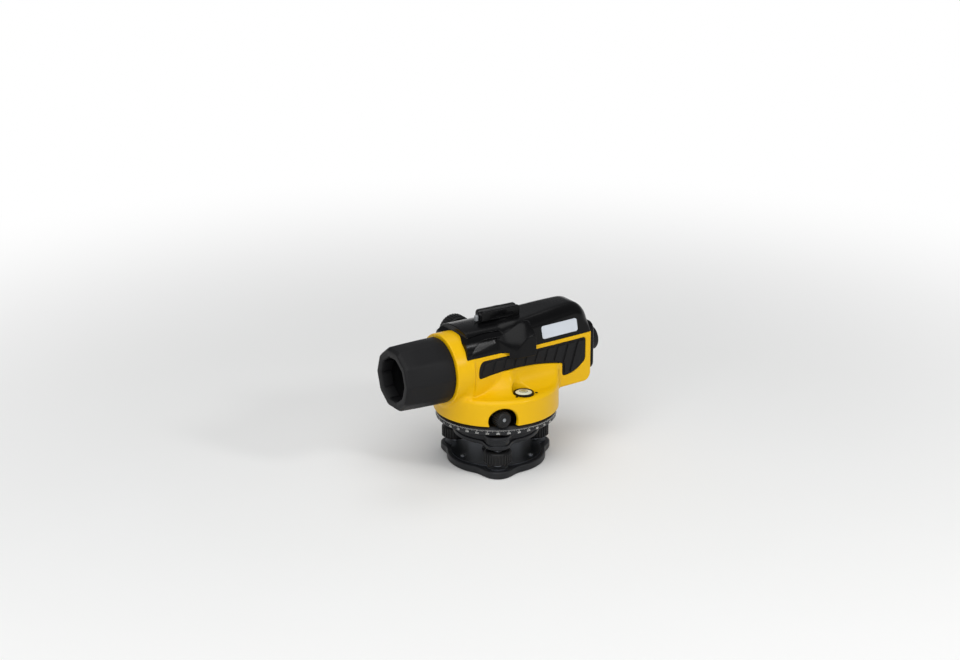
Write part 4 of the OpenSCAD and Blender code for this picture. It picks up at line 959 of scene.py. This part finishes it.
# %% Drive knobs
WORM_X, WORM_Z, DRIVE_KNOB_R = 25.0, SKIRT_Z + 7.5, 7.0
for name, sign in (("left", 1), ("right", -1)):
    low, high = sorted(abs(corner[1]) for corner in box_mm(f"drive_knob_{name}"))
    tall = high - low
    profile = soften([(2.1, 0), (6.6, 0), (DRIVE_KNOB_R, 0.6), (DRIVE_KNOB_R, tall - 1.2), (6.2, tall),
                      (4.6, tall), (4.2, tall - 0.7), (0, tall - 0.7), (0, tall - 2), (2.1, tall - 2)], 0.4)
    at = (WORM_X, sign * low, WORM_Z)
    ribbed(f"drive_knob_{name}", profile * (1, sign), (1.5, 1.1, tall - 2.2), 0.3, 22, DRIVE_KNOB_R, at,
           (WORM_X, sign * (low + tall / 2), WORM_Z), "worm", "Y", 64)
    pin = soften([(0, tall - 0.8), (1.7, tall - 0.8), (1.7, tall - 0.45), (1.2, tall - 0.2),
                  (0, tall - 0.2)], 0.15)
    dress(turned(f"drive_knob_{name}_pin", pin * (1, sign), STEEL, at, "Y", 32), "worm")

# %% Focusing knob
low, high = box_mm("focus_knob")
focus_at = Vector(((low[0] + high[0]) / 2, low[1], (low[2] + high[2]) / 2))
tall, wide = high[1] - low[1], (high[0] - low[0]) / 2
profile = soften([(2.1, tall), (wide - 1.6, tall), (wide - 0.9, tall - 0.8), (wide - 0.9, 1.6),
                  (wide - 2.4, 0), (wide - 4.6, 0), (wide - 5.4, 0.9), (0, 0.9), (0, 3), (2.1, 3)], 0.6)
ribbed("focus_knob", profile, (1.8, 1.6, tall - 4.2), 0.4, 34, wide - 0.95, focus_at,
       focus_at + Vector((0, tall / 2 + 0.2, 0)), "focus_drive", "Y")

# %% Eyepiece ring and eyecup
low, high = box_mm("eyepiece_ring")
tall, wide = high[0] - low[0], (high[1] - low[1]) / 2
profile = soften([(9.1, 0), (wide - 1.4, 0), (wide - 0.7, 0.7), (wide - 0.7, tall - 0.6), (wide - 1.2, tall),
                  (9.1, tall)], 0.3)
eye_at = Vector((low[0], 0, AXIS_Z))
ribbed("eyepiece_ring", profile, (1.3, 1.1, tall - 1.4), 0.25, 40, wide - 0.7, eye_at,
       eye_at + Vector((tall / 2, 0, 0)), "eyepiece_turn", "X")
low, high = box_mm("eyecup")
tall = high[0] - low[0]
profile = soften([(8.1, tall), (11.9, tall), (11.2, 2.4), (11.4, 1.0), (10.6, 0), (9.6, 0.1), (9.0, 1.2),
                  (8.1, 3)], 0.6)
eyecup = turned("eyecup_moulding", profile, HOOD_RUBBER, (low[0], 0, AXIS_Z), "X")
dress(eyecup, "eyepiece_turn", "eyecup")

# %% [markdown]
# ## Graduated circle
# The circle under the skirt reads horizontal angles. It is turned from aluminium, anodised black,
# and its rim is engraved with a line for each degree, longer every five and ten degrees, with a number
# every ten. The engraving is filled with white paint, so the lines are thin bars that stand out by a
# hair. The ring tree places the lines, and the numbers are text made into a mesh.

# %% Circle and its lines
low, high = box_mm("horizontal_circle")
CIRCLE_Z, CIRCLE_R, CIRCLE_HOLE_R, RIM_H = low[2], 56.0, 13.06, high[2] - low[2]
profile = soften([(CIRCLE_HOLE_R, 0), (54.5, 0), (CIRCLE_R, 1.5), (CIRCLE_R, RIM_H - 2.5), (53.5, RIM_H),
                  (52, RIM_H), (52, 3.5), (CIRCLE_HOLE_R, 3.5)], 0.35, 2)
circle = turned("graduated_circle", profile, ANODISED, (0, 0, CIRCLE_Z), "Z", 180)
dress(circle, "circle", "horizontal_circle")
LINES_TOP = CIRCLE_Z + RIM_H - 2.7
for name, count, tall, wide in (("degree_lines", 360, 1.1, 0.16), ("five_degree_lines", 72, 1.6, 0.2),
                                ("ten_degree_lines", 36, 2.1, 0.26)):
    middle = (0, 0, LINES_TOP - tall / 2)
    dress(ring_of(name, bar((0.2, wide, tall)), count, CIRCLE_R - 0.04, WHITE_INK, middle), "circle")


# %% Numbers on the circle
def number_mesh(words, size_mm):
    """The outline of a number as points in millimetres and faces, lying in X and Y."""
    text = bpy.data.curves.new("number", "FONT")
    text.body, text.size, text.align_x, text.resolution_u = words, size_mm * MM, "CENTER", 3
    text.extrude = 0.05 * MM
    holder = bpy.data.objects.new("number", text)
    scene.collection.objects.link(holder)
    mesh = bpy.data.meshes.new_from_object(holder.evaluated_get(bpy.context.evaluated_depsgraph_get()))
    points = [Vector(v.co) / MM for v in mesh.vertices]
    faces = [list(p.vertices) for p in mesh.polygons]
    bpy.data.objects.remove(holder)
    bpy.data.meshes.remove(mesh)
    return points, faces


NUMBER_H, NUMBER_DROP = 2.2, 4.0
points, faces = [], []
for degree in range(0, 360, 10):
    glyphs, outline = number_mesh(str(degree), NUMBER_H)
    start = len(points)
    for p in glyphs:
        around = math.radians(-degree) + p.x / CIRCLE_R
        reach = CIRCLE_R - 0.02 + p.z
        points.append((reach * math.cos(around), reach * math.sin(around), LINES_TOP - NUMBER_DROP + p.y))
    faces += [[start + v for v in face] for face in outline]
numbers = mesh_object("circle_numbers", points, faces, WHITE_INK)
numbers.data.polygons.foreach_set("use_smooth", [False] * len(numbers.data.polygons))
dress(numbers, "circle")
print(f"numbers: {len(points)} points")

# %% [markdown]
# ## Circular bubble
# A black ring holds a crowned vial of pale liquid. A dark circle on the vial shows where the bubble
# has to stay, and the bubble itself rests under the middle of the crown. All of them are round, so each
# is a profile spun about the vial's axis.

# %% Bubble
low, high = box_mm("bubble_housing")
ring_h = high[2] - low[2]
bubble_at = (BUBBLE_X, BUBBLE_Y, low[2])
profile = soften([(0, 0), (9.45, 0), (9.45, ring_h), (7.9, ring_h), (7.5, ring_h - 0.6), (7.5, 1.2),
                  (0, 1.2)], 0.3)
dress(turned("bubble_ring", profile, GLOSS_BLACK, bubble_at), "alidade", "bubble_housing")
vial_h = box_mm("bubble_vial")[1][2] - low[2]
crown = [(r, vial_h - 0.1 - r * r / 47.5) for r in np.linspace(7.4, 0, 10)]
liquid = turned("bubble_liquid", [(0, 1.25), (7.4, 1.25)] + crown, PALE_DISC, bubble_at)
dress(liquid, "alidade", "bubble_vial")
mark = soften([(3.5, vial_h - 0.5), (3.9, vial_h - 0.5), (3.9, vial_h - 0.33), (3.5, vial_h - 0.3)], 0.05, 2)
dress(turned("bubble_circle_line", mark, GLOSS_BLACK, bubble_at), "alidade")
dome = [(r, vial_h - 0.02 - r * r / 60) for r in np.linspace(2.9, 0, 8)]
dress(turned("air_bubble", [(0, vial_h - 0.4), (2.9, vial_h - 0.4)] + dome, VIAL_GLASS, bubble_at), "alidade")
print(f"bubble ring {ring_h:.1f} mm high")

# %% [markdown]
# ## Bead of the sight
# A grey bead with a round top stands in front of the sight's notch, and the eye lines the two up with
# the target. It is round, so one softened profile is spun.

# %% Bead
bead_low, bead_high = box_mm("sight_bead")
bead_r = (bead_high[0] - bead_low[0]) / 2
bead_h = bead_high[2] - bead_low[2]
bead = soften([(0, 0), (bead_r, 0), (bead_r, bead_h - 0.8), (bead_r * 0.6, bead_h), (0, bead_h)], 0.6)
bead_dome = turned("sight_bead_dome", bead, GREY_ABS, (bead_low[0] + bead_r, 0, bead_low[2]), "Z", 48)
dress(bead_dome, "alidade", "sight_bead")
print(f"bead {bead_h:.1f} mm high")

# %% [markdown]
# ## Screws
# The small screws are one slotted head, made once and copied onto points by a second tree. Its points
# are the corners of a mesh, taken from the places of the CAD screws, and one turn serves each group.

# %% Screw tree
def points_tree():
    """Copies of a shape on the points of a mesh, all turned the same way."""
    tree, given = new_tree("pieces_at_points", Geometry="Geometry", Shape="Object", Turn="Vector",
                           Material="Material")
    return copies_on(tree, given, given["Geometry"], given["Turn"])


AT_POINTS = points_tree()
print(f"{AT_POINTS.name}: {len(AT_POINTS.nodes)} nodes")


# %% Screws
def slotted_head(radius, tall, material):
    """A domed, slotted screw head on the plane z = 0, in millimetres."""
    def head_field(x, y, z):
        form = cut_round(np.hypot(x, y) - radius, z - tall, 0.35)
        slot = np.maximum(np.abs(y) - radius * 0.16, tall * 0.45 - z)
        return carve(form, slot, z)
    reach = radius + 0.4
    return sculpt("screw_head", head_field, (-reach, -reach, -0.4), (reach, reach, tall + 0.4),
                  radius / 12, material, 0.5)


def screws(name, places_mm, radius, tall, turn, material, body, node):
    """Screw heads at places; they stand for one CAD node."""
    head = slotted_head(radius, tall, material)
    obj = run_tree(name, AT_POINTS, places_mm, Shape=head, Turn=turn, Material=material)
    bpy.data.objects.remove(head)
    obj.data.set_sharp_from_angle(angle=math.radians(40))
    dress(obj, body, node)


def on_circle(x, y, z, radius, degrees):
    """Places on a level circle."""
    turns = [math.radians(d) for d in degrees]
    return [(x + radius * math.cos(a), y + radius * math.sin(a), z) for a in turns]


low, high = box_mm("rear_cap_screws")
places = [(low[0] + 1.2, y, z) for y in (2.5 - high[1], high[1] - 2.5) for z in (low[2] + 2.5, high[2] - 2.5)]
screws("rear_cap_screw_heads", places, 2.4, 1.1, (0, -math.pi / 2, 0), STEEL, "alidade", "rear_cap_screws")
places = on_circle(0, 0, box_mm("spring_plate")[1][2], 36, (-120, 120, 0))
screws("spring_plate_screw_heads", places, 2.4, 1.0, (0, 0, 0.6), STEEL, "base", "spring_plate_screws")
places = on_circle(BUBBLE_X, BUBBLE_Y, box_mm("bubble_screws")[1][2] - 0.5, 11.7, (25, 155))
screws("bubble_screw_heads", places, 1.25, 0.5, (0, 0, 0.9), GLOSS_BLACK, "alidade", "bubble_screws")

# %% [markdown]
# ## Levelling base
# The base plate screws onto a tripod and the tribrach stands on it with three foot screws. Both are
# castings with three rounded arms, machined on top and anodised black. The base plate's hole has a
# coarse thread, drawn here as a radius that follows the turn and the height.

# %% Base plate and tribrach
def from_feet(x, y):
    """Distance to the nearest foot screw's axis."""
    return np.minimum.reduce([np.hypot(x - foot_place(i).x, y - foot_place(i).y) for i in FEET])


def lobed(x, y, disc, lobe):
    """A disc with a round arm at each foot screw and hollow corners between."""
    return join_round(np.hypot(x, y) - disc, from_feet(x, y) - lobe, 8)


BASE_TOP = box_mm("base_plate")[1][2]
TRIBRACH_LOW, TRIBRACH_TOP = (corner[2] for corner in box_mm("tribrach"))
PLATE_H, TRIPOD_BOSS_R = 7.0, 13.0
THREAD_R, THREAD_DEEP, THREAD_PITCH = 7.94, 0.8, 25.4 / 11
SOCKET_R, SOCKET_LOW = 3.65, 0.85
SLEEVE_R, BUSH_R = 13.05, 6.55


def base_field(x, y, z):
    """A lobed plate with a threaded boss, sockets for the foot pads and a ring of relief below."""
    reach = np.hypot(x, y)
    plate = cut_round(lobed(x, y, 46, 14), band(z, 0, PLATE_H), 1.3)
    boss = np.maximum(cut_round(reach - TRIPOD_BOSS_R, z - BASE_TOP, 0.8), -z)
    turn = (z / THREAD_PITCH - np.arctan2(y, x) / math.tau) % 1
    hole = reach - THREAD_R - THREAD_DEEP * np.abs(2 * turn - 1)
    sockets = np.maximum(from_feet(x, y) - SOCKET_R, SOCKET_LOW - z)
    relief = np.maximum(band(reach, 21, 33), z - 1.0)
    form = cut_round(np.maximum(join_round(plate, boss, 1.0), -z), -relief, 0.4)
    return carve(form, hole, sockets)


def tribrach_field(x, y, z):
    """A lobed casting with a waist, and holes for the axle sleeve and the three bushes."""
    form = cut_round(lobed(x, y, 40, 12), band(z, TRIBRACH_LOW, TRIBRACH_TOP), 1.6)
    waist = np.maximum(-lobed(x, y, 38.6, 10.6), band(z, TRIBRACH_LOW + 4.2, TRIBRACH_TOP - 4.2))
    form = cut_round(form, -waist, 1.0)
    return carve(form, np.hypot(x, y) - SLEEVE_R, from_feet(x, y) - BUSH_R)


sculpt_node("base_casting", base_field, "base_plate", "base", pick(0.5), ANODISED)
sculpt_node("tribrach_casting", tribrach_field, "tribrach", "tribrach", pick(0.5), ANODISED)

# %% [markdown]
# ## Bare plate
# A thin plate with rounded corners sits on the leaning side of the cover. It is left bare. Three
# outlines, the last one a little smaller, make it a loft with a bevelled edge. Its place follows the
# taper and the lean of the side that it is glued to.

# %% Plate
def rounded_sheet(name, wide, tall, thick, corner, material):
    """A sheet with rounded corners and a small bevel, lying in X and Z, its back on Y = 0."""
    rings = []
    for inset, y in ((0, 0), (0, thick - 0.2), (0.2, thick)):
        right, top = wide - inset, tall - inset
        corners = [(inset, inset), (right, inset), (right, top), (inset, top)]
        flat = soften(corners, corner - inset, 8, spun=False)
        rings.append(np.stack([flat[:, 0], np.full(len(flat), y), flat[:, 1]], 1))
    back, front = (np.broadcast_to(ring.mean(0), ring.shape) for ring in (rings[0], rings[-1]))
    return close_up(loft(name, [back, *rings, front], material, closed=False), 25)


plate = rounded_sheet("bare_plate", 41.0, 12.0, 0.6, 2.6, PLATE_SILVER)
on_side = (Matrix.Translation(Vector((TAPER_START, BODY_HALF, AXIS_Z + SEAM_UP)) * MM)
           @ Matrix.Rotation(math.atan(TAPER), 4, "Z") @ Matrix.Rotation(math.radians(LEAN_DEG), 4, "X")
           @ Matrix.Translation(Vector((-79.5, 0.05, 4)) * MM))
plate.data.transform(on_side)
dress(plate, "alidade", "label_plate")
print("plate corner", [round(c / MM, 1) for c in plate.data.vertices[0].co])

# %% [markdown]
# ## Finishes of the solids that stay
# The pieces inside, and the turned ones between the castings, have the right shape already. They
# only get the finish of their real material.

# %% Finishes
FINISHES = {
    BRASS: ["foot_screw_bushes", "axle_sleeve", "worm_wheel", "worm_bracket", "focus_carriage", "focus_bush",
            "pendulum"],
    STEEL: ["foot_pad_1", "foot_pad_2", "foot_pad_3", "retaining_ring", "worm_shaft", "spindle",
            "focus_pinion", "damping_magnets"],
    SPRING_STEEL: ["spring_plate", "clutch_washer", "suspension_tapes"],
    BARE_ALUMINIUM: ["compensator_frame"],
    ANODISED: ["objective_cell", "telescope_tube", "reticle_cell", "eyepiece_bush", "eyepiece_cell"],
    COPPER: ["damping_vane"],
    OBJECTIVE_GLASS: ["objective_lens"],
    PRISM_GLASS: ["focus_lens", "pendulum_prism", "roof_prism", "reticle_glass", "eye_lenses"],
}
for finish, nodes in FINISHES.items():
    for node in nodes:
        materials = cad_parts[node].data.materials
        materials.clear()
        materials.append(finish)
print(sum(map(len, FINISHES.values())), "solids finished")

# %% [markdown]
# ## Floor and light
# The level stands on a plain pale floor that bends up into a low wall far away. Close to the level,
# the lamps light the floor and it takes the shadow. Further out it fades to plain white, but only for
# rays from the camera, from mirrors and through glass, so that the white adds no light to the level.
# A large soft key light stands in front on the left. A weak one fills the shade from lower down, a
# small one draws highlights along the edges, and one from behind gives the cover its outline.

# %% Floor finish
FADE_START, FADE_END = 0.24, 1.0
floor_material, tree, shader, coords = new_material("pale_studio_floor")
clouds = add(tree, "ShaderNodeTexNoise", Vector=coords, Scale=0.004 / MM, Detail=2.0)
pale = add(tree, "ShaderNodeMix", {"data_type": "RGBA"}, Factor=clouds.outputs["Fac"],
           i6=linear("#f3f3f1"), i7=linear("#f6f6f5"))
feed(tree, shader, Roughness=0.9, Specular_IOR_Level=0.2, Base_Color=pale.outputs[2])
reach = add(tree, "ShaderNodeVectorMath", {"operation": "LENGTH"}, i0=coords).outputs["Value"]
far = add(tree, "ShaderNodeMapRange", {"interpolation_type": "SMOOTHSTEP"}, Value=reach,
          From_Min=FADE_START, From_Max=FADE_END)
path = add(tree, "ShaderNodeLightPath").outputs
seen = path["Is Camera Ray"]
for other in ("Is Glossy Ray", "Is Transmission Ray"):
    seen = add(tree, "ShaderNodeMath", {"operation": "MAXIMUM"}, i0=seen, i1=path[other]).outputs[0]
share = add(tree, "ShaderNodeMath", {"operation": "MULTIPLY"}, i0=far.outputs["Result"], i1=seen)
white = add(tree, "ShaderNodeEmission", Color=linear("#ffffff"), Strength=1.0)
faded = add(tree, "ShaderNodeMixShader", i0=share.outputs[0], i1=shader.outputs[0], i2=white.outputs[0])
tree.links.new(faded.outputs[0], tree.get_output_node("ALL").inputs["Surface"])
print(floor_material.name)

# %% Floor
FLOOR_R, BEND_R, WALL_H = 6000, 400, 1000
around = np.linspace(0, math.tau, 96, endpoint=False)
rise = np.linspace(0, math.pi / 2, 9)
floor_z = cad_box[0][2] / MM - 0.2
outline = [(0, 0), *((FLOOR_R + BEND_R * math.sin(a), BEND_R * (1 - math.cos(a))) for a in rise),
           (FLOOR_R + BEND_R, WALL_H)]
floor = loft("floor", [flat_ring(around, r, floor_z + h) for r, h in outline], floor_material, closed=False)
print(f"floor at {floor_z:.1f} mm")


# %% Lights
LIT_POINT = Vector((0, 0, 0.08))


def soft_light(name, azimuth, height, distance, size, watts):
    """A square area light that looks at the level. Angles are in degrees, lengths in metres."""
    lamp = bpy.data.lights.new(name, "AREA")
    lamp.shape, lamp.size, lamp.energy = "SQUARE", size, watts
    holder = bpy.data.objects.new(name, lamp)
    scene.collection.objects.link(holder)
    way = direction(math.radians(azimuth), math.radians(height))
    holder.location = LIT_POINT + way * distance
    holder.rotation_euler = way.to_track_quat("Z", "Y").to_euler()


soft_light("key", 50, 56, 2.0, 2.2, 33)
soft_light("edge", 116, 30, 1.6, 0.2, 4.5)
soft_light("fill", 35, 15, 2.0, 1.2, 5.0)
soft_light("back", 240, 66, 1.7, 0.8, 3)
world = bpy.data.worlds.new("studio")
scene.world = world
world.use_nodes = True
sky = world.node_tree.nodes["Background"]
sky.inputs["Color"].default_value = linear("#f4f6fa")
sky.inputs["Strength"].default_value = 0.24
